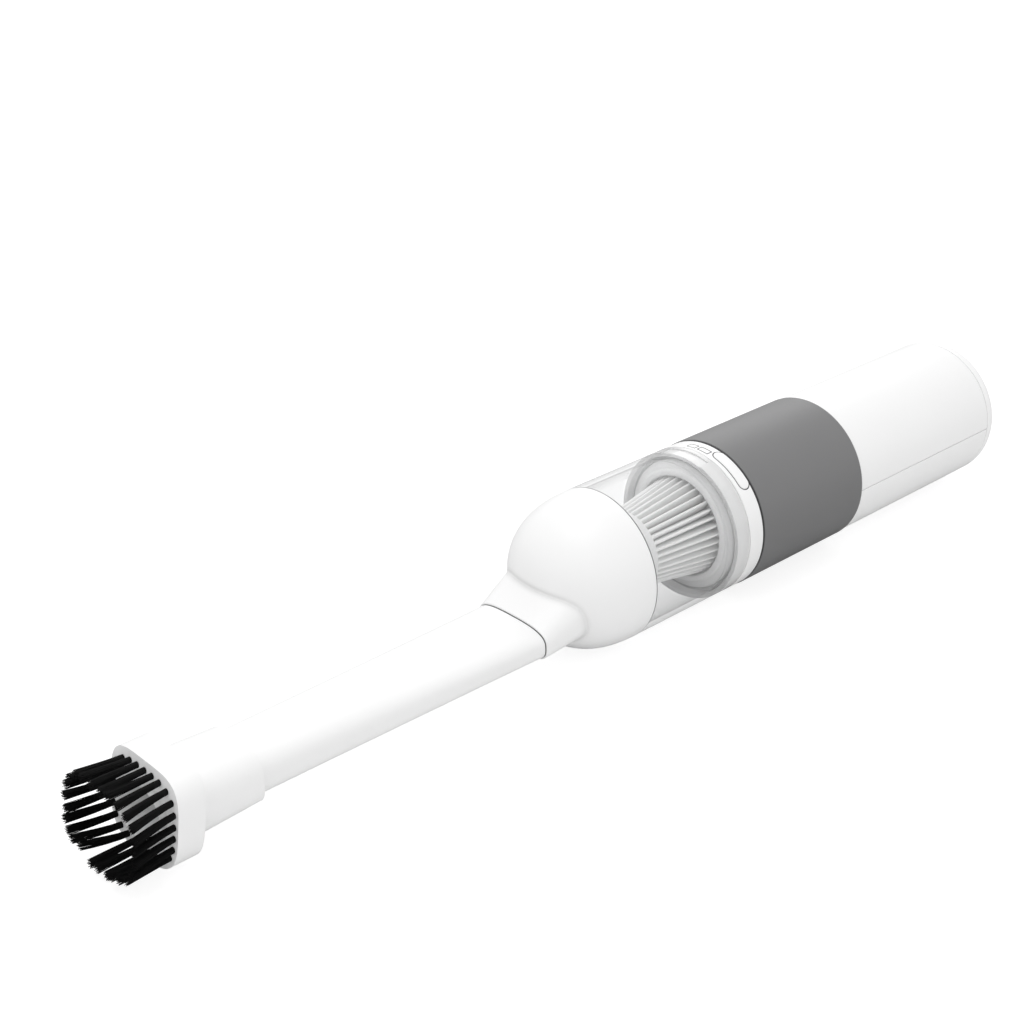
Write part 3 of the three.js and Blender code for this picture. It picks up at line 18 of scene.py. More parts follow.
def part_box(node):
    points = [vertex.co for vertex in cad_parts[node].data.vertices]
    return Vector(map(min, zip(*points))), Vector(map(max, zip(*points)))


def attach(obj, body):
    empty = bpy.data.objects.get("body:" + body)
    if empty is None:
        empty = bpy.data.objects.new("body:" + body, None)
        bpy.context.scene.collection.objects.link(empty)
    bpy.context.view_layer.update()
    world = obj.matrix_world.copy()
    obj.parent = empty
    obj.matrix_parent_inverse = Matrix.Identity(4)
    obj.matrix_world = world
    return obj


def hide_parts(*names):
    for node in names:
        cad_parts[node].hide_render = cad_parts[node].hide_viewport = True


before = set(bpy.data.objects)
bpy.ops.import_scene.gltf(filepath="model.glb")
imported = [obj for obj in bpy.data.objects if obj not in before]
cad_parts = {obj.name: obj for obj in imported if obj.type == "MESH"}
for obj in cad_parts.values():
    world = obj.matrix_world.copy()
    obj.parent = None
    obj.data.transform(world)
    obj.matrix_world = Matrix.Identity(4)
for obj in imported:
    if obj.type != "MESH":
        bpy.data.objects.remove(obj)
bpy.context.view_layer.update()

MM = 0.001
TURN = 2 * math.pi
MERGE = 1e-7
ROUND_STEPS = 144
OVAL_STEPS = 112
EASE_STEPS = 4
PILL_STEPS = 16
X_WAY, Y_WAY, Z_WAY = (Vector(way) for way in ((1, 0, 0), (0, 1, 0), (0, 0, 1)))
CUT_OVERRUN = 1.0 * MM
CLEARANCE = 0.3 * MM
# The colour that painted shade darkens creases and folds towards
CREASE_SHADE_COLOUR = (0.45, 0.45, 0.445)
SMOOTH_ANGLE = math.radians(38)
SHARP_ANGLE = math.radians(60)
NEAR = 0.01 * MM
FINE_EDGE = 0.2 * MM
SMALL_EDGE = 0.3 * MM
Colour = tuple[float, float, float]
log = logging.getLogger("hand_vacuum")


# Shader tools


class Wire:
    """A shader socket that Python arithmetic works on."""

    def __init__(self, shader: "Shader", socket: bpy.types.NodeSocket) -> None:
        """Keeps the shader that owns the socket, and the socket."""
        self.shader = shader
        self.socket = socket

    def _math(self, operation: str, first: "Wire | float", second: "Wire | float") -> "Wire":
        """Adds a Math node.

        Args:
            operation: The Math node's operation.
            first: Its first value.
            second: Its second value.

        Returns:
            The node's result.
        """
        return self.shader.node("ShaderNodeMath", {"operation": operation}, {0: first, 1: second})

    def __add__(self, other: "Wire | float") -> "Wire":
        """Returns the sum."""
        return self._math("ADD", self, other)

    __radd__ = __add__

    def __sub__(self, other: "Wire | float") -> "Wire":
        """Returns the difference."""
        return self._math("SUBTRACT", self, other)

    def __rsub__(self, other: float) -> "Wire":
        """Returns a number less this value."""
        return self._math("SUBTRACT", other, self)

    def __mul__(self, other: "Wire | float") -> "Wire":
        """Returns the product."""
        return self._math("MULTIPLY", self, other)

    __rmul__ = __mul__

    def __pow__(self, other: float) -> "Wire":
        """Returns the power."""
        return self._math("POWER", self, other)

    def about(self, middle: float, spread: float) -> "Wire":
        """Returns a value from 0 to 1 spread evenly about a middle."""
        return self * spread + (middle - spread / 2)

    def above(self, edge: float) -> "Wire":
        """Returns 1 where the value is over the edge, and 0 elsewhere."""
        return self._math("GREATER_THAN", self, edge)


class Shader:
    """The node tree of a material or of the world while it is built."""

    def __init__(self, name: str, world: bool = False) -> None:
        """Starts an empty node tree.

        Args:
            name: The material's or the world's name.
            world: Whether it is the world's.
        """
        self.owner = (bpy.data.worlds if world else bpy.data.materials).new(name)
        self.output = "ShaderNodeOutputWorld" if world else "ShaderNodeOutputMaterial"
        self.owner.use_nodes = True
        self.tree = self.owner.node_tree
        self.tree.nodes.clear()

    def node(
        self, kind: str, settings: dict | None = None, inputs: dict | None = None, output: int | str = 0,
    ) -> Wire:
        """Adds one node.

        Args:
            kind: The node's type.
            settings: Attributes to set first.
            inputs: Values or wires by socket.
            output: The socket to return.

        Returns:
            The chosen output.
        """
        made = self.tree.nodes.new(kind)
        for key, value in (settings or {}).items():
            setattr(made, key, value)
        for key, value in (inputs or {}).items():
            if isinstance(value, Wire):
                self.tree.links.new(value.socket, made.inputs[key])
            else:
                made.inputs[key].default_value = value
        return Wire(self, made.outputs[output])

    def place(self, scale: Sequence[float] = (1.0, 1.0, 1.0)) -> Wire:
        """Returns the object's own coordinates, stretched by the scale."""
        coordinates = self.node("ShaderNodeTexCoord", output="Object")
        return self.node("ShaderNodeMapping", inputs={"Vector": coordinates, "Scale": scale})

    def grain(self, size: float, stretch: Sequence[float] = (1.0, 1.0, 1.0), detail: float = 3.0) -> Wire:
        """Adds noise.

        Args:
            size: The size of a grain in metres.
            stretch: How much finer the grain is along each axis.
            detail: The noise's octaves.

        Returns:
            The noise, round about a half.
        """
        return self.node("ShaderNodeTexNoise", inputs={
            "Vector": self.place(stretch),
            "Scale": 1.0 / size,
            "Detail": detail,
            "Roughness": 0.55,
        })

    def creases(self, reach: float) -> Wire:
        """Gives the mask that paints shade into a piece's own creases, from ambient occlusion.

        Args:
            reach: How far off a facing wall still makes a crease.

        Returns:
            Nought on an open face, rising towards one deep in a crease.
        """
        settings = {"only_local": True, "samples": 4}
        return 1.0 - self.node("ShaderNodeAmbientOcclusion", settings, {"Distance": reach}, "AO")

    def bump(self, height: Wire, strength: float, distance: float) -> Wire:
        """Returns a normal bent by a height."""
        return self.node("ShaderNodeBump", inputs={"Height": height, "Strength": strength, "Distance": distance})

    def tint(self, share: Wire, first: "Wire | Colour", second: Colour) -> Wire:
        """Mixes two colours.

        Args:
            share: How much of the second colour shows.
            first: The first colour.
            second: The second colour.

        Returns:
            The mixed colour.
        """
        start = first if isinstance(first, Wire) else (*first, 1.0)
        return self.node("ShaderNodeMix", {"data_type": "RGBA"}, {0: share, 6: start, 7: (*second, 1.0)}, 2)

    def finish(self, surface: Wire) -> bpy.types.Material | bpy.types.World:
        """Sends a surface to the output and returns the material or the world."""
        end = self.tree.nodes.new(self.output)
        self.tree.links.new(surface.socket, end.inputs["Surface"])
        return self.owner


@dataclass(frozen=True)
class Surface:
    """A finish of one Principled shader, whose two colours a pattern mixes."""

    name: str
    colour: Colour
    shade: Colour

    def sockets(self, shader: Shader) -> dict[str, object]:
        """Returns the shader's values and wires by socket."""
        raise NotImplementedError

    def material(self) -> bpy.types.Material:
        """Returns the material."""
        shader = Shader(self.name)
        return shader.finish(shader.node("ShaderNodeBsdfPrincipled", inputs=self.sockets(shader)))


@dataclass(frozen=True)
class MouldedPlastic(Surface):
    """Opaque moulded plastic with a spark-eroded grain, faint flow marks and, where asked, painted shade darkening its
    creases.
    """

    roughness: float
    grain: float = 0.35 * MM
    relief: float = 0.012 * MM
    specular: float = 0.5
    coat: float = 0.0
    crease_shade: float = 0.0
    crease_shade_reach: float = 3.5 * MM
    flow_mark: float = 26 * MM
    flow_dulling: float = 0.06
    grain_dulling: float = 0.04

    def sockets(self, shader: Shader) -> dict[str, object]:
        """Returns the shader's values and wires by socket."""
        clouds = shader.grain(self.flow_mark, detail=2.0)
        fine = shader.grain(self.grain)
        colour = shader.tint(clouds, self.colour, self.shade)
        # Painted shade: the colour darkens in the piece's own creases
        if self.crease_shade:
            colour = shader.tint(shader.creases(self.crease_shade_reach) * self.crease_shade, colour, CREASE_SHADE_COLOUR)
        return {
            "Base Color": colour,
            "Roughness": clouds.about(self.roughness, self.flow_dulling) + fine * self.grain_dulling,
            "Specular IOR Level": self.specular,
            "Coat Weight": self.coat,
            "Normal": shader.bump(fine, 0.35, self.relief),
        }


@dataclass(frozen=True)
class SoftTouch(Surface):
    """Matte paint with a fine even speckle, as on a grip."""

    roughness: float = 0.5
    speckle: float = 0.22 * MM
    speckle_share: float = 0.4
    dulling: float = 0.1
    cloud: float = 34 * MM

    def sockets(self, shader: Shader) -> dict[str, object]:
        """Returns the shader's values and wires by socket."""
        clouds = shader.grain(self.cloud, detail=2.0)
        speckle = shader.grain(self.speckle, detail=1.0)
        pattern = clouds * (1.0 - self.speckle_share) + speckle * self.speckle_share
        return {
            "Base Color": shader.tint(pattern, self.colour, self.shade),
            "Roughness": speckle.about(self.roughness, self.dulling),
            "Specular IOR Level": 0.55,
            "Normal": shader.bump(speckle, 0.3, 0.02 * MM),
        }


@dataclass(frozen=True)
class Filament(Surface):
    """Drawn nylon bristle with streaks along its length."""

    streak: float = 0.35 * MM
    roughness: float = 0.5
    dulling: float = 0.2

    def sockets(self, shader: Shader) -> dict[str, object]:
        """Returns the shader's values and wires by socket."""
        streaks = shader.grain(self.streak, stretch=(0.04, 1.0, 1.0), detail=2.0)
        return {
            "Base Color": shader.tint(streaks ** 3.0, self.colour, self.shade),
            "Roughness": streaks.about(self.roughness, self.dulling),
            "Specular IOR Level": 0.15,
        }


@dataclass(frozen=True)
class FilterPaper(Surface):
    """Pressed filter paper with short fibres and painted shade darkening its folds."""

    crease_shade: float = 0.3
    fold_reach: float = 5 * MM
    fibre: float = 0.3 * MM
    fibre_share: float = 0.6
    cloud: float = 5 * MM
    roughness: float = 0.83
    dulling: float = 0.1

    def sockets(self, shader: Shader) -> dict[str, object]:
        """Returns the shader's values and wires by socket."""
        fibres = shader.grain(self.fibre, stretch=(0.35, 1.0, 1.0), detail=4.0)
        clouds = shader.grain(self.cloud, detail=2.0)
        pattern = fibres * self.fibre_share + clouds * (1.0 - self.fibre_share)
        colour = shader.tint(pattern, self.colour, self.shade)
        # Painted shade: the colour darkens deep in the folds between the pleats
        return {
            "Base Color": shader.tint(shader.creases(self.fold_reach) * self.crease_shade, colour, CREASE_SHADE_COLOUR),
            "Roughness": fibres.about(self.roughness, self.dulling),
            "Specular IOR Level": 0.2,
            "Normal": shader.bump(fibres, 0.4, 0.05 * MM),
        }


@dataclass(frozen=True)
class Rubber(Surface):
    """Matte moulded rubber or silicone with a dusty bloom."""

    bloom: float = 3 * MM
    pore: float = 0.18 * MM
    roughness: float = 0.72
    dulling: float = 0.12

    def sockets(self, shader: Shader) -> dict[str, object]:
        """Returns the shader's values and wires by socket."""
        bloom = shader.grain(self.bloom, detail=5.0)
        pores = shader.grain(self.pore, detail=1.0)
        return {
            "Base Color": shader.tint(bloom ** 2.0, self.colour, self.shade),
            "Roughness": bloom.about(self.roughness, self.dulling),
            "Specular IOR Level": 0.35,
            "Normal": shader.bump(pores, 0.3, 0.02 * MM),
        }


@dataclass(frozen=True)
class Metal(Surface):
    """Rolled or drawn metal with fine lines along the X axis."""

    roughness: float
    dulling: float = 0.16
    line: float = 0.25 * MM
    stain: float = 9 * MM

    def sockets(self, shader: Shader) -> dict[str, object]:
        """Returns the shader's values and wires by socket."""
        lines = shader.grain(self.line, stretch=(0.05, 1.0, 1.0), detail=3.0)
        stains = shader.grain(self.stain, detail=3.0)
        return {
            "Base Color": shader.tint(stains, self.colour, self.shade),
            "Metallic": 1.0,
            "Roughness": lines.about(self.roughness, self.dulling),
            "Normal": shader.bump(lines, 0.2, 0.01 * MM),
        }


@dataclass(frozen=True)
class CircuitBoard(Surface):
    """Solder mask over copper tracks, which are its shade, with bare pads."""

    pad: Colour
    cell: float = 4.5 * MM
    track_edges: tuple[float, float] = (0.52, 0.62)
    pad_edge: float = 0.13

    def sockets(self, shader: Shader) -> dict[str, object]:
        """Returns the shader's values and wires by socket."""
        inputs = {"Vector": shader.place(), "Scale": 1.0 / self.cell}
        cells = shader.node("ShaderNodeTexVoronoi", {"distance": "MANHATTAN"}, inputs)
        tracks = cells.above(self.track_edges[0]) - cells.above(self.track_edges[1])
        pads = 1.0 - cells.above(self.pad_edge)
        return {
            "Base Color": shader.tint(pads, shader.tint(tracks, self.colour, self.shade), self.pad),
            "Metallic": pads,
            "Roughness": 0.42,
            "Normal": shader.bump(tracks, 0.3, 0.03 * MM),
        }


@dataclass(frozen=True)
class Foam(Surface):
    """Open-cell foam, darkest in its cells."""

    cell: float = 0.9 * MM

    def sockets(self, shader: Shader) -> dict[str, object]:
        """Returns the shader's values and wires by socket."""
        cells = shader.node("ShaderNodeTexVoronoi", inputs={"Vector": shader.place(), "Scale": 1.0 / self.cell})
        return {
            "Base Color": shader.tint(cells, self.shade, self.colour),
            "Roughness": 0.95,
            "Specular IOR Level": 0.1,
            "Normal": shader.bump(cells, 0.8, 0.3 * MM),
        }


@dataclass(frozen=True)
class ClearPlastic:
    """Clear glossy plastic: it lets light through and mirrors more as it is seen more edge on."""

    name: str
    tint: Colour
    cloud: Colour
    body: float
    shine: float
    roughness: float = 0.065
    dulling: float = 0.05
    streak: float = 18 * MM
    edge_power: float = 3.0

    def material(self) -> bpy.types.Material:
        """Returns the material."""
        shader = Shader(self.name)
        film = shader.node("ShaderNodeBsdfTransparent", inputs={"Color": (*self.tint, 1.0)})
        streaks = shader.grain(self.streak, stretch=(0.2, 1.0, 1.0), detail=1.0)
        gloss = shader.node("ShaderNodeBsdfPrincipled", inputs={
            "Base Color": (*self.cloud, 1.0),
            "Roughness": streaks.about(self.roughness, self.dulling),
            "Specular IOR Level": 0.6,
            "Coat Weight": 0.6,
            "Coat Roughness": 0.03,
        })
        facing = shader.node("ShaderNodeLayerWeight", inputs={"Blend": 0.5}, output="Facing")
        share = facing ** self.edge_power * self.shine + self.body
        return shader.finish(shader.node("ShaderNodeMixShader", inputs={0: share, 1: film, 2: gloss}))


class Finish(Enum):
    """The finishes that the part wears."""

    WHITE = MouldedPlastic("white_plastic", (0.86, 0.86, 0.86), (0.84, 0.84, 0.84), 0.36)
    # The nose's copy of the white plastic, with painted shade darkening its creases, most of all where the spout meets
    # the dome
    NOSE = MouldedPlastic("nose_plastic", (0.86, 0.86, 0.86), (0.84, 0.84, 0.84), 0.36, crease_shade=8.0)
    LIGHT_GREY = MouldedPlastic("light_grey_plastic", (0.86, 0.861, 0.862), (0.84, 0.841, 0.842), 0.42)
    BLACK = MouldedPlastic("black_plastic", (0.02, 0.02, 0.022), (0.03, 0.03, 0.032), 0.45)
    LENS = MouldedPlastic("frosted_lens", (0.82, 0.88, 0.92), (0.78, 0.84, 0.9), 0.2, coat=0.4)
    SLEEVE = MouldedPlastic("cell_sleeve", (0.05, 0.16, 0.4), (0.04, 0.13, 0.34), 0.3, coat=0.3)
    GRIP = SoftTouch("grip_paint", (0.175, 0.175, 0.177), (0.16, 0.16, 0.162))
    CLEAR = ClearPlastic("clear_plastic", (0.976, 0.977, 0.978), (0.72, 0.72, 0.72), 0.06, 0.42)
    MILKY = ClearPlastic("milky_plastic", (0.985, 0.986, 0.987), (0.95, 0.95, 0.95), 0.5, 0.4, 0.145)
    BRISTLE = Filament("black_bristle", (0.001, 0.001, 0.001), (0.014, 0.014, 0.0145))
    PAPER = FilterPaper("filter_paper", (0.95, 0.95, 0.948), (0.9, 0.9, 0.895))
    RUBBER = Rubber("dark_rubber", (0.035, 0.035, 0.037), (0.08, 0.08, 0.082))
    SILICONE = Rubber("pale_silicone", (0.62, 0.63, 0.64), (0.7, 0.71, 0.72))
    STEEL = Metal("steel", (0.6, 0.61, 0.62), (0.5, 0.51, 0.52), 0.3)
    CAN = Metal("motor_metal", (0.62, 0.62, 0.6), (0.5, 0.5, 0.49), 0.36)
    BOARD = CircuitBoard("board", (0.02, 0.12, 0.06), (0.04, 0.2, 0.1), (0.75, 0.7, 0.6))
    FOAM = Foam("foam", (0.13, 0.13, 0.135), (0.02, 0.02, 0.022))


class Wardrobe:
    """Makes each finish's material once and hands it out."""

    made: dict[Finish, bpy.types.Material] = {}

    @classmethod
    def material(cls, finish: Finish) -> bpy.types.Material:
        """Returns the material of a finish."""
        if finish not in cls.made:
            cls.made[finish] = finish.value.material()
        return cls.made[finish]


# Shaping tools


def shown(name: str, data: bpy.types.ID) -> bpy.types.Object:
    """Returns a new object of some data, linked to the scene."""
    made = bpy.data.objects.new(name, data)
    bpy.context.scene.collection.objects.link(made)
    return made


def curve_point(start: Vector, corner: Vector, end: Vector, share: float) -> Vector:
    """Gives a point of the curve that rounds a corner.

    Args:
        start: Where the curve leaves the side before the corner.
        corner: The corner.
        end: Where it meets the side after it.
        share: How far along the curve.

    Returns:
        The point.
    """
    return start * (1 - share) ** 2 + corner * (2 * share * (1 - share)) + end * share ** 2


def eased(path: Sequence[tuple[Vector, float]], closed: bool = True) -> list[Vector]:
    """Rounds the corners of a path.

    Args:
        path: Corners, each with how far the rounding reaches back along its two sides.
        closed: Whether the last corner joins the first.

    Returns:
        The path's points.
    """
    points: list[Vector] = []
    count = len(path)
    for index, (corner, reach) in enumerate(path):
        at_end = not closed and index in (0, count - 1)
        if reach <= 0 or at_end:
            points.append(corner.copy())
            continue
        before = path[index - 1][0] - corner
        after = path[(index + 1) % count][0] - corner
        start = corner + before * min(reach / before.length, 0.49)
        end = corner + after * min(reach / after.length, 0.49)
        points += [curve_point(start, corner, end, step / EASE_STEPS) for step in range(EASE_STEPS + 1)]
    return points


def corner(*values: float, ease: float = 0.0) -> tuple[Vector, float]:
    """Returns a path's corner from numbers, with its rounding."""
    return Vector(values), ease


def oval_point(angle: float, half_width: float, half_height: float, power: float) -> tuple[float, float]:
    """Gives a point of a rounded rectangle.

    Args:
        angle: The point's parameter, in radians.
        half_width: Half the rectangle's width.
        half_height: Half its height.
        power: 2 for an ellipse, and more for squarer corners.

    Returns:
        The point across and up from the centre.
    """
    c, s = math.cos(angle), math.sin(angle)
    return (
        half_width * math.copysign(abs(c) ** (2 / power), c),
        half_height * math.copysign(abs(s) ** (2 / power), s),
    )


class Form:
    """A mesh while it is shaped, in metres in the part's frame."""

    def __init__(self) -> None:
        """Starts an empty mesh."""
        self.bm = bmesh.new()

    def turned(self, profile: Sequence[Vector], axis_z: float, steps: int = ROUND_STEPS) -> "Form":
        """Spins a closed profile of (station, radius) points about the handle's axis.

        Args:
            profile: The points in order, of which the ends may lie on the axis.
            axis_z: The axis's height.
            steps: Steps in the full turn.

        Returns:
            This form.
        """
        verts = [self.bm.verts.new((p.x, 0.0, axis_z + p.y)) for p in profile]
        edges = [self.bm.edges.new(pair) for pair in zip(verts, verts[1:])]
        on_axis = abs(profile[0].y) < MERGE and abs(profile[-1].y) < MERGE
        if not on_axis:
            edges.append(self.bm.edges.new((verts[-1], verts[0])))
        bmesh.ops.spin(
            self.bm,
            geom=verts + edges,
            cent=(0.0, 0.0, axis_z),
            axis=(1.0, 0.0, 0.0),
            angle=TURN,
            steps=steps,
            use_merge=True,
        )
        return self.clean()

    def lofted(self, rings: Sequence[Sequence[Vector]], closed: bool = True) -> "Form":
        """Joins rings of points, each drawn out from the one before.

        Args:
            rings: Rings of one count of points.
            closed: Whether the last ring meets the first; otherwise both ends are filled.

        Returns:
            This form.
        """
        count = len(rings[0])
        made = bmesh.ops.create_circle(self.bm, cap_ends=False, segments=count, radius=1.0)["verts"]
        made.sort(key=lambda v: math.atan2(v.co.y, v.co.x) % TURN)
        for vert, point in zip(made, rings[0]):
            vert.co = point
        loop = made
        loops = [loop]
        for ring in [*rings[1:], *([rings[0]] if closed else [])]:
            edges = [self._edge(a, b) for a, b in zip(loop, loop[1:] + loop[:1])]
            drawn = bmesh.ops.extrude_edge_only(self.bm, edges=edges)["geom"]
            fresh = {g for g in drawn if isinstance(g, bmesh.types.BMVert)}
            loop = [next(e.other_vert(v) for e in v.link_edges if e.other_vert(v) in fresh) for v in loop]
            for vert, point in zip(loop, ring):
                vert.co = point
            loops.append(loop)
        if not closed:
            for end in (loops[0], loops[-1]):
                bmesh.ops.contextual_create(self.bm, geom=[self._edge(a, b) for a, b in zip(end, end[1:] + end[:1])])
        return self.clean()

    def _edge(self, first: bmesh.types.BMVert, second: bmesh.types.BMVert) -> bmesh.types.BMEdge:
        """Returns the edge between two vertices."""
        return self.bm.edges.get((first, second))

    def block(self, low: Sequence[float], high: Sequence[float], edge: float = 0.0, segments: int = 3) -> "Form":
        """Adds a box with rounded edges.

        Args:
            low: Its lowest corner.
            high: Its highest corner.
            edge: The rounding's width.
            segments: The rounding's segments.

        Returns:
            This form.
        """
        low, high = Vector(low), Vector(high)
        size = high - low
        place = Matrix.Translation((low + high) / 2) @ Matrix.Diagonal((*size, 1.0))
        verts = bmesh.ops.create_cube(self.bm, size=1.0, matrix=place)["verts"]
        if edge > 0:
            edges = {e for v in verts for e in v.link_edges}
            bmesh.ops.bevel(
                self.bm, geom=list(edges), offset=edge, segments=segments, profile=0.5, affect="EDGES", material=-1,
            )
        return self

    def prism(self, outline: Sequence[Vector], out: Vector) -> "Form":
        """Pushes a closed flat outline along a direction.

        Args:
            outline: The outline's points in order.
            out: The direction and length of the push.

        Returns:
            This form.
        """
        verts = [self.bm.verts.new(p) for p in outline]
        face = self.bm.faces.new(verts)
        drawn = bmesh.ops.extrude_face_region(self.bm, geom=[face])["geom"]
        bmesh.ops.translate(self.bm, vec=out, verts=[g for g in drawn if isinstance(g, bmesh.types.BMVert)])
        return self.clean()

    def clean(self) -> "Form":
        """Merges doubles and turns the faces outwards."""
        bmesh.ops.remove_doubles(self.bm, verts=self.bm.verts, dist=MERGE)
        bmesh.ops.recalc_face_normals(self.bm, faces=self.bm.faces)
        return self

    def joined(self, other: "Form") -> "Form":
        """Adds another form's mesh beside this one's."""
        mesh = other.mesh("joined")
        self.bm.from_mesh(mesh)
        bpy.data.meshes.remove(mesh)
        return self

    def carved(self, tool: "Form", operation: str = "DIFFERENCE") -> "Form":
        """Cuts this form with another.

        Args:
            tool: The closed form that cuts.
            operation: DIFFERENCE or INTERSECT.

        Returns:
            This form.
        """
        pair = [shown("carving", form.mesh("carving")) for form in (self, tool)]
        cut = pair[0].modifiers.new("cut", "BOOLEAN")
        cut.operation, cut.solver, cut.object = operation, "EXACT", pair[1]
        result = bpy.data.meshes.new_from_object(pair[0].evaluated_get(bpy.context.evaluated_depsgraph_get()))
        for made in pair:
            data = made.data
            bpy.data.objects.remove(made)
            bpy.data.meshes.remove(data)
        self.bm = bmesh.new()
        self.bm.from_mesh(result)
        bpy.data.meshes.remove(result)
        return self

    def softened(self, width: float, least: float = SHARP_ANGLE, where: Callable | None = None) -> "Form":
        """Rounds the sharp edges.

        Args:
            width: The rounding's width.
            least: The least angle between two faces that counts as sharp, in radians.
            where: Keeps only the edges whose middle it accepts.

        Returns:
            This form.
        """
        sharp = []
        for edge in self.bm.edges:
            middle = (edge.verts[0].co + edge.verts[1].co) / 2
            if edge.calc_face_angle(0.0) > least and (where is None or where(middle)):
                sharp.append(edge)
        bmesh.ops.bevel(
            self.bm, geom=sharp, offset=width, segments=2, profile=0.5, affect="EDGES", material=-1,
            clamp_overlap=True,
        )
        return self

    def mesh(self, name: str) -> bpy.types.Mesh:
        """Returns a new mesh of this form."""
        data = bpy.data.meshes.new(name)
        self.bm.to_mesh(data)
        return data


@dataclass(frozen=True)
class Seat:
    """Where a piece goes: its body, what it replaces and a slot's name, which the script does not read."""

    body: str
    slot: str
    nodes: tuple[str, ...] = ()


def finished(name: str, form: Form, finish: Finish, seat: Seat) -> bpy.types.Object:
    """Makes a form an object of the part.

    Args:
        name: The piece's name.
        form: Its mesh.
        finish: What it is made of.
        seat: The body that carries it, and the nodes that it stands for.

    Returns:
        The new object.
    """
    data = form.mesh(name)
    data.shade_smooth()
    data.set_sharp_from_angle(angle=SMOOTH_ANGLE)
    data.materials.append(Wardrobe.material(finish))
    piece = shown(name, data)
    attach(piece, seat.body)
    if seat.nodes:
        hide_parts(*seat.nodes)
    log.info("%s: %d faces on %s", name, len(data.polygons), seat.body)
    return piece


def dressed(node: str, finish: Finish) -> None:
    """Gives a node of the frame a finish.

    Args:
        node: The node's name.
        finish: What it is made of.
    """
    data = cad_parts[node].data
    data.materials.clear()
    data.materials.append(Wardrobe.material(finish))
    log.info("%s: frame node in %s", node, finish.value.name)


@dataclass(frozen=True)
class Layout:
    """The lines that the pieces are set out from, read from the frame."""

    axis_z: float
    nozzle_z: float
    seam_x: float

    @classmethod
    def read(cls) -> "Layout":
        """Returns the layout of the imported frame."""
        low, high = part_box("grip_band")
        nozzle_low, nozzle_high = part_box("nozzle_tube")
        return cls((low.z + high.z) / 2, (nozzle_low.z + nozzle_high.z) / 2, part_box("dust_cup")[0].x - CLEARANCE / 2)

    def around(self, x: float, angle: float, radius: float) -> Vector:
        """Gives a point round the handle.

        Args:
            x: Its station.
            angle: Its angle in degrees, from -Y towards +Z.
            radius: Its distance from the axis.

        Returns:
            The point.
        """
        radians = math.radians(angle)
        return Vector((x, -radius * math.cos(radians), self.axis_z + radius * math.sin(radians)))

    def oval(
        self, x: float, half_width: float, half_height: float, power: float, rise: float = 0.0,
    ) -> list[Vector]:
        """Returns a ring of points round the nozzle's axis, or round a line that much above it."""
        ring = []
        for step in range(OVAL_STEPS):
            across, up = oval_point(TURN * step / OVAL_STEPS, half_width, half_height, power)
            ring.append(Vector((x, across, self.nozzle_z + rise + up)))
        return ring

    def circle(self, x: float, radius: float) -> list[Vector]:
        """Returns a ring of points round the handle's axis."""
        ring = []
        for step in range(OVAL_STEPS):
            angle = TURN * step / OVAL_STEPS
            ring.append(Vector((x, radius * math.cos(angle), self.axis_z + radius * math.sin(angle))))
        return ring

    def turned(self, profile: Sequence[Vector], steps: int = ROUND_STEPS) -> Form:
        """Returns a closed profile of (station, radius) points spun about the handle's axis."""
        return Form().turned(profile, self.axis_z, steps)

    def ovals(self, path: Sequence[Vector]) -> list[list[Vector]]:
        """Returns a ring for each (station, half width, half height, power) of a path."""
        return [self.oval(*section) for section in path]


def radius_of(node: str) -> float:
    """Returns half the height of a node's box."""
    low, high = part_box(node)
    return (high.z - low.z) / 2


def span_of(node: str) -> tuple[float, float]:
    """Returns the stations at which a node starts and ends."""
    low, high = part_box(node)
    return low.x, high.x


def thin_ring(layout: Layout, stations: tuple[float, float], radii: tuple[float, float]) -> Form:
    """Makes a plain thin ring round the handle's axis.

    Args:
        layout: The part's layout.
        stations: Where it starts and ends.
        radii: Its inner and outer radius.

    Returns:
        The ring.
    """
    (front, rear), (inner, outer) = stations, radii
    profile = [Vector(p) for p in ((front, inner), (front, outer), (rear, outer), (rear, inner))]
    return layout.turned(profile)


# Front end


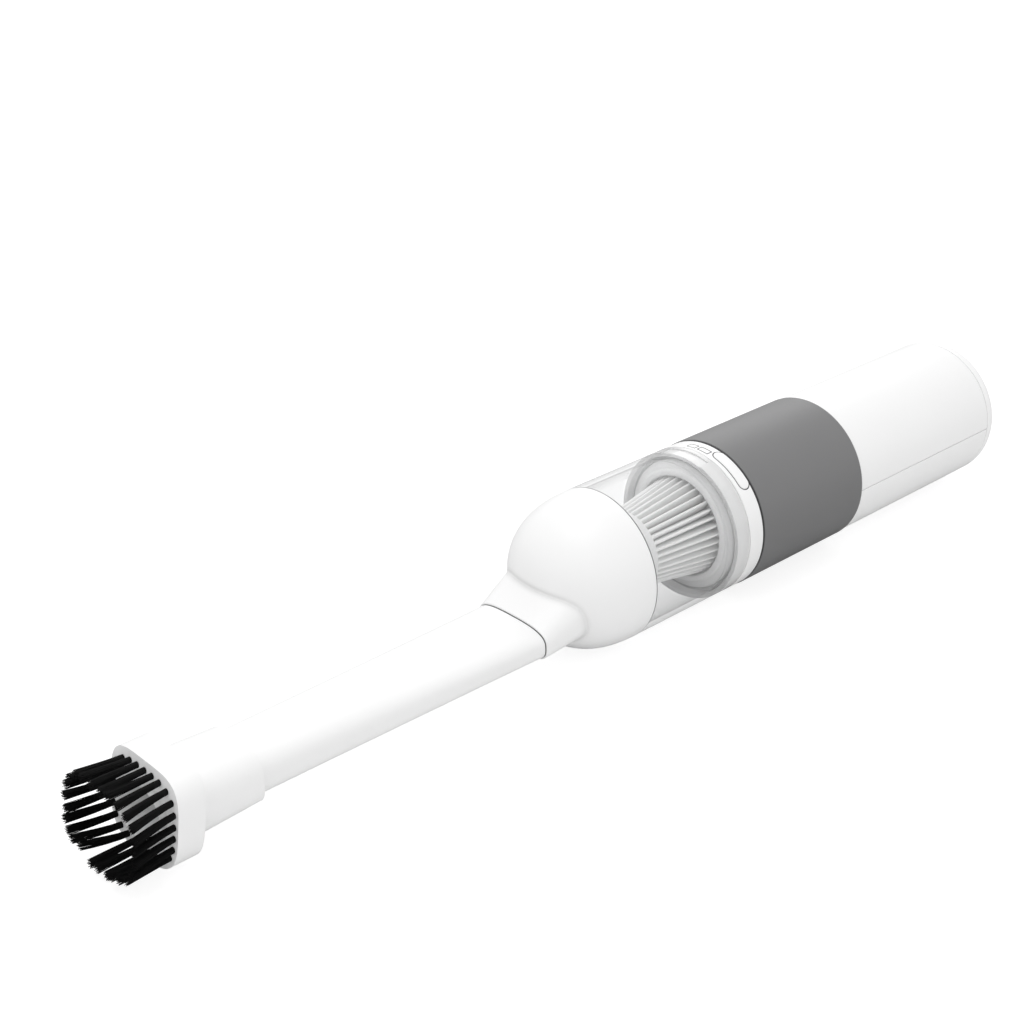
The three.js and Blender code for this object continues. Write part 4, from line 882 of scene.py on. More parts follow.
@dataclass
class Nozzle:
    """The flat tube between the nose and the brush, with the plug that enters the nose."""

    layout: Layout
    power: float = 3.0
    wall: float = 1.7 * MM
    root_half_width: float = 20.4 * MM
    root_half_height: float = 7.4 * MM
    tip_half_width: float = 15.1 * MM
    tip_half_height: float = 10.3 * MM
    bore_half_width: float = 16.8 * MM
    bore_half_height: float = 3.8 * MM
    plug_wall: float = 1.5 * MM
    plug_length: float = 20 * MM
    tip_length: float = 24.5 * MM
    edge: float = 0.35 * MM
    ring_rise: float = 0.1 * MM
    ring_depth: float = 1.2 * MM

    def ring(self, root: float) -> None:
        """Builds the thin dark rubber ring between the tube and the spout, in front of a station, which paints the
        shadow in the joint's gap.
        """
        outer = (self.root_half_width + self.ring_rise, self.root_half_height + self.ring_rise, self.power)
        inner = (self.root_half_width - self.ring_depth, self.root_half_height - self.ring_depth, self.power)
        ends = (root, root + CLEARANCE)
        path = [(x, *size) for x, size in zip((*ends, *ends[::-1]), (outer, outer, inner, inner))]
        form = Form().lofted(self.layout.ovals(path))
        # Painted shadow: dark rubber stands where the gap would be in shade
        finished("nozzle_shadow_ring", form, Finish.RUBBER, Seat("nozzle", "dark_rubber"))

    def build(self) -> None:
        """Builds the tube and its ring."""
        tip, plug_end = span_of("nozzle_tube")
        taper_end = tip + self.tip_length
        root = plug_end - self.plug_length
        outer_tip = (self.tip_half_width, self.tip_half_height, self.power)
        inner_tip = (self.tip_half_width - self.wall, self.tip_half_height - self.wall, self.power)
        outer_root = (self.root_half_width, self.root_half_height, self.power)
        plug = (self.bore_half_width + self.plug_wall, self.bore_half_height + self.plug_wall, self.power)
        bore = (self.bore_half_width, self.bore_half_height, self.power)
        path = eased([
            corner(tip, *outer_tip, ease=self.edge),
            corner(taper_end, *outer_tip),
            corner((taper_end + root) / 2, *((a + b) / 2 for a, b in zip(outer_tip, outer_root))),
            corner(root, *outer_root, ease=self.edge),
            corner(root, *plug),
            corner(plug_end, *plug, ease=self.edge),
            corner(plug_end, *bore, ease=self.edge),
            corner(root, *bore),
            corner(taper_end, *inner_tip),
            corner(tip, *inner_tip, ease=self.edge),
        ])
        form = Form().lofted(self.layout.ovals(path))
        finished("nozzle_body", form, Finish.WHITE, Seat("nozzle", "white_plastic", ("nozzle_tube",)))
        self.ring(root)


@dataclass
class BrushHead:
    """The sleeve, the collar that leans forward below, and the lipped mouth inside the bristles."""

    layout: Layout
    nozzle: Nozzle
    half_width: float = 22.2 * MM
    half_height: float = 19.8 * MM
    power: float = 4.0
    lower_power: float = 3.0
    lean: float = 0.13
    mouth_power: float = 2.3
    sleeve_length: float = 27 * MM
    sleeve_wall: float = 1.8 * MM
    sleeve_edge: float = 0.9 * MM
    foot_edge: float = 0.8 * MM
    face_edge: float = 0.9 * MM
    mouth_edge: float = 0.5 * MM
    foot_half_width: float = 17.2 * MM
    foot_half_height: float = 14.4 * MM
    depth: float = 11.6 * MM
    edge: float = 2.2 * MM
    lip: float = 0.7 * MM
    lip_reach: float = 2.4 * MM
    mouth_half_width: float = 14.2 * MM
    mouth_half_height: float = 10.4 * MM
    stop_gap: float = 0.8 * MM

    def face_x(self, z: float) -> float:
        """Returns the station of the face at a height."""
        top = self.layout.nozzle_z + self.half_height
        return span_of("brush_head")[1] - self.sleeve_length - self.depth - self.lean * (top - z)

    def ring(self, x: float, half_width: float, half_height: float, power: float, share: float) -> list[Vector]:
        """Gives a ring of the head, rounder below than above.

        Args:
            x: Its station at the collar's top.
            half_width: Half its width.
            half_height: Half its height.
            power: How square its upper half is.
            share: How much of the collar's lean it takes.

        Returns:
            The ring.
        """
        top = self.layout.nozzle_z + self.half_height
        upper = self.layout.oval(x, half_width, half_height, power)
        lower = self.layout.oval(x, half_width, half_height, min(power, self.lower_power))
        ring = [a if a.z > self.layout.nozzle_z else b for a, b in zip(upper, lower)]
        return [Vector((p.x - share * self.lean * (top - p.z), p.y, p.z)) for p in ring]

    def build(self) -> None:
        """Builds the head."""
        rear = span_of("brush_head")[1]
        collar_rear = rear - self.sleeve_length
        front = collar_rear - self.depth
        lip_top = front - self.lip_reach
        tip = span_of("nozzle_tube")[0] - self.stop_gap
        power = self.nozzle.power
        bore = (self.nozzle.tip_half_width + CLEARANCE, self.nozzle.tip_half_height + CLEARANCE, power)
        sleeve = (bore[0] + self.sleeve_wall, bore[1] + self.sleeve_wall, power)
        throat = (
            self.nozzle.tip_half_width - self.nozzle.wall,
            self.nozzle.tip_half_height - self.nozzle.wall,
            power,
        )
        foot = (self.foot_half_width, self.foot_half_height, power)
        collar = (self.half_width, self.half_height, self.power)
        lip = (self.mouth_half_width + self.lip, self.mouth_half_height + self.lip, self.mouth_power)
        mouth = (self.mouth_half_width, self.mouth_half_height, self.mouth_power)
        path = eased([
            corner(rear, *sleeve, 0.0, ease=self.sleeve_edge),
            corner(collar_rear, *foot, 1.0, ease=self.foot_edge),
            corner(collar_rear, *collar, 1.0, ease=self.edge),
            corner(front, *collar, 1.0, ease=self.face_edge),
            corner(front, *lip, 1.0, ease=SMALL_EDGE),
            corner(lip_top, *lip, 1.0, ease=SMALL_EDGE),
            corner(lip_top, *mouth, 1.0, ease=SMALL_EDGE),
            corner(front + self.lip, *mouth, 1.0, ease=self.mouth_edge),
            corner(tip, *throat, 0.0),
            corner(tip, *bore, 0.0),
            corner(rear, *bore, 0.0, ease=SMALL_EDGE),
        ])
        form = Form().lofted([self.ring(*section) for section in path])
        finished("brush_collar", form, Finish.WHITE, Seat("brush", "white_plastic", ("brush_head",)))


@dataclass
class Bristles:
    """Tufts of nylon strands that stand in the collar's face, a quarter of the ring to a side."""

    layout: Layout
    head: BrushHead
    ring_half_width: float = 19.7 * MM
    ring_half_height: float = 15.9 * MM
    ring_power: float = 3.4
    ring_steps: int = 180
    tufts_upright: int = 6
    tufts_level: int = 7
    rows: int = 4
    strand_pitch: float = 0.27 * MM
    strand_radius: float = 0.15 * MM
    strand_sides: int = 5
    strand_joints: int = 4
    sunk: float = 1.0 * MM
    length: float = 19.0 * MM
    uneven: float = 0.375 * MM
    stray: float = 0.12 * MM
    bow: float = 0.12 * MM
    curve: float = 1.4
    taper: float = 0.3
    lean: float = 0.5 * MM
    splay: float = 1.6
    widening: float = 0.17
    bent: tuple[tuple[int, int, float, float], ...] = (
        (2, 5, 2.2 * MM, 0.8 * MM),
        (3, 0, 2.6 * MM, 1.2 * MM),
        (3, 1, 1.6 * MM, 0.6 * MM),
        (3, 4, -0.3 * MM, -0.9 * MM),
        (3, 5, 0.8 * MM, 2.6 * MM),
        (3, 6, 0.6 * MM, 1.6 * MM),
    )

    def tuft_places(self, side: int, tufts: int) -> list[Vector]:
        """Spaces tufts evenly along one side of the ring.

        Args:
            side: 0 to 3, from +Y towards +Z.
            tufts: How many.

        Returns:
            Each tuft's place across and up from the nozzle's axis.
        """
        line = []
        for step in range(self.ring_steps + 1):
            angle = TURN / 4 * (side + step / self.ring_steps) - TURN / 8
            c, s = math.cos(angle), math.sin(angle)
            scale = (abs(c) ** self.ring_power + abs(s) ** self.ring_power) ** (-1 / self.ring_power)
            line.append(Vector((self.ring_half_width * scale * c, self.ring_half_height * scale * s)))
        runs = [0.0]
        for here, further in zip(line, line[1:]):
            runs.append(runs[-1] + (further - here).length)
        wanted = [runs[-1] * (tuft + 0.5) / tufts for tuft in range(tufts)]
        return [next(point for point, run in zip(line, runs) if run >= distance) for distance in wanted]

    def strand_places(self) -> list[Vector]:
        """Returns the strands' places in a tuft, packed in rows round the middle one."""
        places = [Vector((0.0, 0.0))]
        for row in range(1, self.rows + 1):
            for index in range(6 * row):
                angle = TURN * (index + row % 2 / 2) / (6 * row)
                places.append(Vector((math.cos(angle), math.sin(angle))) * (row * self.strand_pitch))
        return places

    def strand(self, form: Form, foot: Vector, tip: Vector, reach: float, phase: float) -> None:
        """Adds one strand to a form.

        Args:
            form: The form.
            foot: Its foot, across and up from the nozzle's axis.
            tip: Its tip.
            reach: Its length outside the face.
            phase: Turns its bow.
        """
        root = self.head.face_x(self.layout.nozzle_z + foot.y) + self.sunk
        rings = []
        for joint in range(self.strand_joints + 1):
            share = joint / self.strand_joints
            bow = math.sin(math.pi * share) * self.bow
            centre = foot.lerp(tip, share ** self.curve) + Vector((math.cos(phase), math.sin(phase))) * bow
            radius = self.strand_radius * (1.0 - self.taper * share)
            ring = []
            for index in range(self.strand_sides):
                angle = TURN * index / self.strand_sides
                ring.append(Vector((
                    root - (reach + self.sunk) * share,
                    centre.x + radius * math.cos(angle),
                    self.layout.nozzle_z + centre.y + radius * math.sin(angle),
                )))
            rings.append(ring)
        count = self.strand_sides
        verts = [[form.bm.verts.new(p) for p in ring] for ring in rings]
        for here, further in zip(verts, verts[1:]):
            for k in range(count):
                form.bm.faces.new((here[k], further[k], further[(k + 1) % count], here[(k + 1) % count]))
        form.bm.faces.new(verts[-1][::-1])
        form.bm.faces.new(verts[0])

    def side(self, name: str, side: int) -> None:
        """Builds one side's tufts.

        Args:
            name: The side's name.
            side: 0 to 3, from +Y towards +Z.
        """
        strands = Form()
        tufts = self.tufts_upright if side % 2 == 0 else self.tufts_level
        # Unequal factors in the waves keep neighbouring tufts and strands from looking alike
        bends = {(row, index): Vector((across, up)) for row, index, across, up in self.bent}
        for tuft, centre in enumerate(self.tuft_places(side, tufts)):
            turn = side * tufts + tuft
            lean = Vector((math.sin(turn * 2.4), math.cos(turn * 1.7))) * self.lean
            bend = bends.get((side, tuft), Vector((0.0, 0.0)))
            tip_centre = centre + Vector((centre.x * self.widening, 0.0)) + lean + bend
            for index, place in enumerate(self.strand_places()):
                wave = math.sin(turn * 1.3 + index * 2.1)
                stray = Vector((math.sin(index * 4.7 + turn), math.cos(index * 3.9 + turn))) * self.stray
                reach = self.length + self.uneven * wave
                tip = tip_centre + place * self.splay + stray
                self.strand(strands, centre + place, tip, reach, index * 2.4)
        seat = Seat("brush", "black_bristle", (f"bristles_{name}",))
        finished(f"tufts_{name}", strands.clean(), Finish.BRISTLE, seat)

    def build(self) -> None:
        """Builds the four sides."""
        for side, name in enumerate(("right", "top", "left", "bottom")):
            self.side(name, side)


@dataclass
class Nose:
    """The domed nose, its flared spout with a small fillet, the duct inside and the lap that enters the cup."""

    layout: Layout
    nozzle: Nozzle
    dome_power: float = 2.4
    length: float = 40 * MM
    radius: float = 35 * MM
    wall: float = 2.2 * MM
    spout_power: float = 3.0
    spout_step: float = 0.8 * MM
    spout_length: float = 11.2 * MM
    foot_half_width: float = 24.1 * MM
    foot_half_height: float = 15.9 * MM
    foot_power: float = 2.4
    foot_rise: float = 7.7 * MM
    foot_reach: float = 10 * MM
    duct_draft: float = 0.5 * MM
    duct_reach: float = 22 * MM
    socket_wall: float = 1.8 * MM
    lap_wall: float = 1.6 * MM
    cup_wall: float = 2.2 * MM
    seam_edge: float = 0.1 * MM
    fillet_along: float = 0.6 * MM
    fillet_across: float = 0.5 * MM
    fillet_steps: int = 8
    halvings: int = 30
    dome_steps: int = 26
    edge: float = 0.35 * MM
    shadow_ring_inset: float = 0.08 * MM
    shadow_ring_width: float = 0.45 * MM

    def dome_x(self, y: float, z: float, length: float, radius: float) -> float:
        """Gives the station of a dome's wall.

        Args:
            y: The place across.
            z: The place's height.
            length: The dome's length.
            radius: Its radius at the seam.

        Returns:
            The station.
        """
        share = min(math.hypot(y, z - self.layout.axis_z) / radius, 1.0)
        along = (1.0 - share ** self.dome_power) ** (1 / self.dome_power)
        return self.layout.seam_x - CLEARANCE / 2 - length * along

    def on_dome(self, y: float, z: float, length: float, radius: float) -> Vector:
        """Returns the point of a dome's wall at a place across and a height."""
        return Vector((self.dome_x(y, z, length, radius), y, z))

    def crease(self, tip: Vector, foot: Vector, length: float) -> Vector:
        """Finds where a line along the spout enters the dome.

        Args:
            tip: The line's end at the spout's tip, outside the dome.
            foot: Its end inside the dome.
            length: The dome's length.

        Returns:
            The point.
        """
        outside, inside = 0.0, 1.0
        for _ in range(self.halvings):
            share = (outside + inside) / 2
            point = tip.lerp(foot, share)
            if point.x < self.dome_x(point.y, point.z, length, self.radius):
                outside = share
            else:
                inside = share
        return tip.lerp(foot, inside)

    def spread(self, start: Sequence[Vector], length: float, radius: float) -> list[list[Vector]]:
        """Gives a dome's rings from a ring on its front out to the seam.

        Args:
            start: The ring on its front.
            length: The dome's length.
            radius: Its radius at the seam.

        Returns:
            The rings, from the front outwards and without the seam's.
        """
        seam = self.layout.circle(0.0, radius)
        rings = []
        for step in range(self.dome_steps):
            share = math.sin(math.pi / 2 * step / self.dome_steps)
            places = [inner.lerp(outer, share) for inner, outer in zip(start, seam)]
            rings.append([self.on_dome(p.y, p.z, length, radius) for p in places])
        return rings

    def outside(self, tip: Sequence[Vector]) -> list[list[Vector]]:
        """Gives the rings from the spout's foot through the fillet and over the dome.

        Args:
            tip: The ring at the spout's tip.

        Returns:
            The rings.
        """
        length = self.length - CLEARANCE / 2
        foot_x = self.layout.seam_x - self.length + self.foot_reach
        foot = self.layout.oval(
            foot_x, self.foot_half_width, self.foot_half_height, self.foot_power, self.foot_rise,
        )
        creases = [self.crease(a, b, length) for a, b in zip(tip, foot)]
        count = len(creases)
        begins, ends = [], []
        for index, bend in enumerate(creases):
            back = (tip[index] - bend).normalized()
            begins.append(bend + back * self.fillet_along)
            along = creases[(index + 1) % count] - creases[index - 1]
            out = Vector((0.0, along.z, -along.y)).normalized() * self.fillet_across
            ends.append(self.on_dome(bend.y + out.y, bend.z + out.z, length, self.radius))
        rings = []
        for step in range(self.fillet_steps):
            share = step / self.fillet_steps
            rings.append([curve_point(*points, share) for points in zip(begins, creases, ends)])
        return rings + self.spread(ends, length, self.radius)

    def build(self) -> None:
        """Builds the nose."""
        layout, nozzle = self.layout, self.nozzle
        tip, lap_end = span_of("nose_shell")
        seam = layout.seam_x - CLEARANCE / 2
        lap_radius = self.radius - self.cup_wall - CLEARANCE
        cavity = lap_radius - self.lap_wall
        foremost = tip + self.spout_length
        duct_end = foremost + self.duct_reach
        plug_stop = span_of("nozzle_tube")[1] + CLEARANCE
        root = (nozzle.root_half_width, nozzle.root_half_height)
        spout = (*(size + self.spout_step for size in root), self.spout_power)
        socket = (*(size - self.socket_wall for size in root), self.spout_power)
        duct = (*(size + self.duct_draft for size in root), self.spout_power)
        bore = (nozzle.bore_half_width, nozzle.bore_half_height, self.spout_power)
        # End corners that a slice leaves out only give the roundings their direction
        start = eased([
            corner(foremost, *socket),
            corner(tip, *socket, ease=FINE_EDGE),
            corner(tip, *spout, ease=self.edge),
            corner(foremost, *spout),
        ], closed=False)
        rings = layout.ovals(start[1:-1])
        rings += self.outside(layout.oval(tip, *spout))
        rim = eased([
            corner(seam - 1 * MM, self.radius),
            corner(seam, self.radius, ease=self.edge),
            corner(seam, lap_radius, ease=self.seam_edge),
            corner(lap_end, lap_radius, ease=self.edge),
            corner(lap_end, cavity, ease=self.edge),
            corner(seam, cavity),
        ], closed=False)
        rings += [layout.circle(p.x, p.y) for p in rim[1:]]
        inside_length = self.length - self.wall - CLEARANCE / 2
        inside = [self.on_dome(p.y, p.z, inside_length, cavity) for p in layout.oval(0.0, *duct)]
        rings += self.spread(inside, inside_length, cavity)[::-1]
        back = eased([
            corner(foremost, *duct),
            corner(duct_end, *duct, ease=self.edge),
            corner(duct_end, *bore, ease=self.edge),
            corner(plug_stop, *bore),
            corner(plug_stop, *socket),
            corner(tip, *socket),
        ], closed=False)
        rings += layout.ovals(back[1:-1])
        form = Form().lofted(rings)
        finished("nose_dome", form, Finish.NOSE, Seat("cup", "white_plastic", ("nose_shell",)))
        # Thin dark rubber rings paint the shadow in the gaps at the seam and at the lap's end
        seal = thin_ring(layout, (seam, seam + CLEARANCE), (lap_radius, self.radius - self.shadow_ring_inset))
        seal.joined(thin_ring(layout, (lap_end - self.shadow_ring_width, lap_end), (lap_radius, lap_radius + CLEARANCE)))
        finished("nose_shadow_rings", seal, Finish.RUBBER, Seat("cup", "dark_rubber"))
        dressed("inlet_flap", Finish.RUBBER)
        dressed("flap_pin", Finish.STEEL)


# Cup, filter and coupling


@dataclass
class DustCup:
    """The clear tube with its neck, and the seal behind the neck."""

    layout: Layout
    wall: float = 2.2 * MM
    neck_radius: float = 32.6 * MM
    neck_wall: float = 1.6 * MM
    neck_length: float = 4 * MM
    shoulder_rounding: float = 1.0 * MM
    seal_steps: int = 96
    edge: float = 0.4 * MM

    def build(self) -> None:
        """Builds the cup and dresses its seal."""
        front, neck_rear = span_of("dust_cup")
        rear = neck_rear - self.neck_length
        radius = radius_of("dust_cup")
        neck_inner = self.neck_radius - self.neck_wall
        profile = eased([
            corner(front, radius, ease=self.edge),
            corner(rear, radius, ease=self.edge),
            corner(rear, self.neck_radius, ease=FINE_EDGE),
            corner(neck_rear, self.neck_radius, ease=SMALL_EDGE),
            corner(neck_rear, neck_inner, ease=SMALL_EDGE),
            corner(rear - self.wall, neck_inner, ease=self.shoulder_rounding),
            corner(rear - 2 * self.wall, radius - self.wall, ease=self.shoulder_rounding),
            corner(front, radius - self.wall, ease=FINE_EDGE),
        ])
        form = self.layout.turned(profile)
        finished("cup_wall", form, Finish.CLEAR, Seat("cup", "clear_plastic", ("dust_cup",)))
        front, rear = span_of("cup_seal")
        seal = eased([
            corner(front, neck_inner, ease=SMALL_EDGE),
            corner(front, self.neck_radius, ease=SMALL_EDGE),
            corner(rear, self.neck_radius, ease=SMALL_EDGE),
            corner(rear, neck_inner, ease=SMALL_EDGE),
        ])
        form = self.layout.turned(seal, self.seal_steps)
        finished("cup_gasket", form, Finish.SILICONE, Seat("cup", "dark_rubber", ("cup_seal",)))


@dataclass
class Filter:
    """The pleated cone between its nose cap and its flanged base."""

    layout: Layout
    pleats: int = 36
    front_x: float = 19.8 * MM
    front_ridge: float = 0.8 * MM
    rear_ridge: float = 0.45 * MM
    ridge_steps: tuple[float, ...] = (0.0, 0.3, 0.55, 0.75, 0.9, 1.0)
    rings: int = 9
    paper: float = 0.7 * MM
    front_radius: float = 17.8 * MM
    rear_radius: float = 23.4 * MM
    front_depth: float = 3.0 * MM
    rear_depth: float = 7.0 * MM
    sway: float = 0.04
    slack: float = 0.15 * MM
    cap_x: float = 14.6 * MM
    cap_edge: float = 1.2 * MM
    cap_rounding: float = 1.5 * MM
    cap_rear_edge: float = 0.4 * MM
    dish_depth: float = 1.2 * MM
    dish_shares: tuple[float, float] = (0.62, 0.7)
    dish_roundings: tuple[float, float] = (1.2 * MM, 1.0 * MM)
    flange_radius: float = 30.6 * MM
    flange_rise: float = 2.2 * MM
    rim_inner: float = 23.8 * MM
    rim_outer: float = 27.0 * MM
    rim_reach: float = 3.8 * MM
    rim_roundings: tuple[float, float] = (1.1 * MM, 1.5 * MM)
    flange_length: float = 4.0 * MM
    flange_edge: float = 0.5 * MM
    flange_rounding: float = 0.8 * MM
    plug_outer: float = 23.6 * MM
    plug_inner: float = 21.6 * MM
    bore: float = 18.0 * MM
    ridge_limit: float = 0.93

    def paper_ring(self, share: float, inset: float) -> list[Vector]:
        """Gives the folded paper's outline.

        Args:
            share: How far from the front to the rear.
            inset: How far inside the outer face.

        Returns:
            The ring of points.
        """
        rear = span_of("filter_pleats")[1]
        x = self.front_x + (rear - self.front_x) * share
        radius = self.front_radius + (self.rear_radius - self.front_radius) * share
        depth = self.front_depth + (self.rear_depth - self.front_depth) * share
        half_pitch = math.pi * radius / self.pleats
        ridge = min((self.front_ridge + (self.rear_ridge - self.front_ridge) * share) / half_pitch, self.ridge_limit)
        across = [ridge * step for step in self.ridge_steps] + [(1.0 + ridge) / 2]
        ring = []
        # Unequal factors in the waves keep neighbouring folds from looking alike
        for pleat in range(self.pleats):
            sway = self.sway * math.sin(pleat * 2.3 + 2.0 * share) * math.sin(math.pi * share)
            slack = self.slack * (1.0 + math.sin(pleat * 1.9 + 3.1 * share)) / 2
            for place in [*(-1 * a for a in across[:0:-1]), *across, 1.0]:
                away = abs(place)
                if away <= ridge:
                    drop = half_pitch * ridge * (1.0 - math.sqrt(1.0 - (away / ridge) ** 2)) + slack
                else:
                    drop = half_pitch * ridge + (depth - half_pitch * ridge) * (away - ridge) / (1.0 - ridge)
                shift = place / 2 + (sway if away < 1.0 else 0.0)
                angle = 360.0 * (pleat + shift) / self.pleats
                ring.append(self.layout.around(x, angle, radius - inset - drop))
        return ring

    def build(self) -> None:
        """Builds the paper, the cap, the base and the seal."""
        shares = [step / (self.rings - 1) for step in range(self.rings)]
        rings = [self.paper_ring(share, 0.0) for share in shares]
        rings += [self.paper_ring(share, self.paper) for share in shares[::-1]]
        seat = Seat("filter", "filter_paper", ("filter_pleats",))
        finished("pleated_paper", Form().lofted(rings), Finish.PAPER, seat)
        self.cap()
        self.base()
        dressed("filter_seal", Finish.SILICONE)

    def cap(self) -> None:
        """Builds the cap at the cone's nose, with a shallow dish and a plug inside the paper."""
        front, rear = self.cap_x, span_of("filter_cap")[1]
        rim_rear = self.front_x - CLEARANCE
        radius = self.front_radius + self.cap_edge
        plug = self.front_radius - self.front_depth - 2 * self.paper
        profile = eased([
            corner(front + self.dish_depth, 0.0),
            corner(front + self.dish_depth, radius * self.dish_shares[0], ease=self.dish_roundings[0]),
            corner(front, radius * self.dish_shares[1], ease=self.dish_roundings[1]),
            corner(front, radius, ease=self.cap_rounding),
            corner(rim_rear, radius, ease=self.cap_rear_edge),
            corner(rim_rear, plug),
            corner(rear, plug, ease=self.cap_rear_edge),
            corner(rear, 0.0),
        ], closed=False)
        form = self.layout.turned(profile)
        finished("filter_nose", form, Finish.LIGHT_GREY, Seat("filter", "grey_plastic", ("filter_cap",)))

    def base(self) -> None:
        """Builds the flange with its raised rim and the plug behind it."""
        front, plug_rear = span_of("filter_base")
        rear = front + self.flange_length
        profile = eased([
            corner(front, self.bore),
            corner(front, self.rim_inner),
            corner(front - self.rim_reach, self.rim_inner, ease=self.rim_roundings[0]),
            corner(front - self.rim_reach, self.rim_outer, ease=self.rim_roundings[1]),
            corner(front - self.flange_rise, self.rim_outer, ease=self.flange_edge),
            corner(front - self.flange_rise / 2, self.flange_radius, ease=self.flange_rounding),
            corner(rear, self.flange_radius, ease=self.flange_edge),
            corner(rear, self.plug_outer, ease=SMALL_EDGE),
            corner(plug_rear, self.plug_outer, ease=SMALL_EDGE),
            corner(plug_rear, self.plug_inner, ease=SMALL_EDGE),
            corner(rear, self.plug_inner, ease=SMALL_EDGE),
            corner(rear, self.bore, ease=SMALL_EDGE),
        ])
        form = self.layout.turned(profile)
        finished("filter_flange", form, Finish.LIGHT_GREY, Seat("filter", "grey_plastic", ("filter_base",)))


def ring_block(
    layout: Layout, stations: tuple[float, float], radii: tuple[float, float], angles: tuple[float, float],
    steps: int = 24,
) -> Form:
    """Makes a block that follows the round wall.

    Args:
        layout: The part's layout.
        stations: Where it starts and ends.
        radii: Its inner and outer radius.
        angles: Its first and last angle, in degrees.
        steps: Steps along its arc.

    Returns:
        The block.
    """
    shares = [step / steps for step in range(steps + 1)]
    outline = []
    for radius, order in ((radii[1], shares), (radii[0], shares[::-1])):
        for share in order:
            angle = angles[0] + (angles[1] - angles[0]) * share
            outline.append(layout.around(stations[0], angle, radius))
    return Form().prism(outline, Vector((stations[1] - stations[0], 0.0, 0.0)))


def pill_outline(
    middle: Vector, across: Vector, along: Vector, size: tuple[float, float], steps: int = PILL_STEPS,
) -> list[Vector]:
    """Gives the outline of a flat bar with round ends.

    Args:
        middle: Its middle.
        across: The direction of its length.
        along: The direction of its width.
        size: Its length and width.
        steps: Steps in each round end.

    Returns:
        The outline's points in order.
    """
    length, width = size
    run, radius = (length - width) / 2, width / 2
    outline = []
    for end in (1, -1):
        for step in range(steps + 1):
            turn = math.pi * step / steps - math.pi / 2
            reach, rise = end * (run + radius * math.cos(turn)), end * radius * math.sin(turn)
            outline.append(middle + across * reach + along * rise)
    return outline


def pill_post(
    layout: Layout, centre_x: float, angle: float, length: float, width: float, radii: tuple[float, float],
) -> Form:
    """Makes a post with round ends that points out of the wall, its length round the handle.

    Args:
        layout: The part's layout.
        centre_x: Its middle's station.
        angle: Its middle's angle, in degrees.
        length: Its length round the handle.
        width: Its width along the handle.
        radii: How far from the axis it starts and ends.

    Returns:
        The post.
    """
    up = (layout.around(0.0, angle, 1.0) - Vector((0.0, 0.0, layout.axis_z))).normalized()
    base = Vector((centre_x, 0.0, layout.axis_z)) + up * radii[0]
    outline = pill_outline(base, up.cross(X_WAY), X_WAY, (length, width))
    return Form().prism(outline, up * (radii[1] - radii[0]))


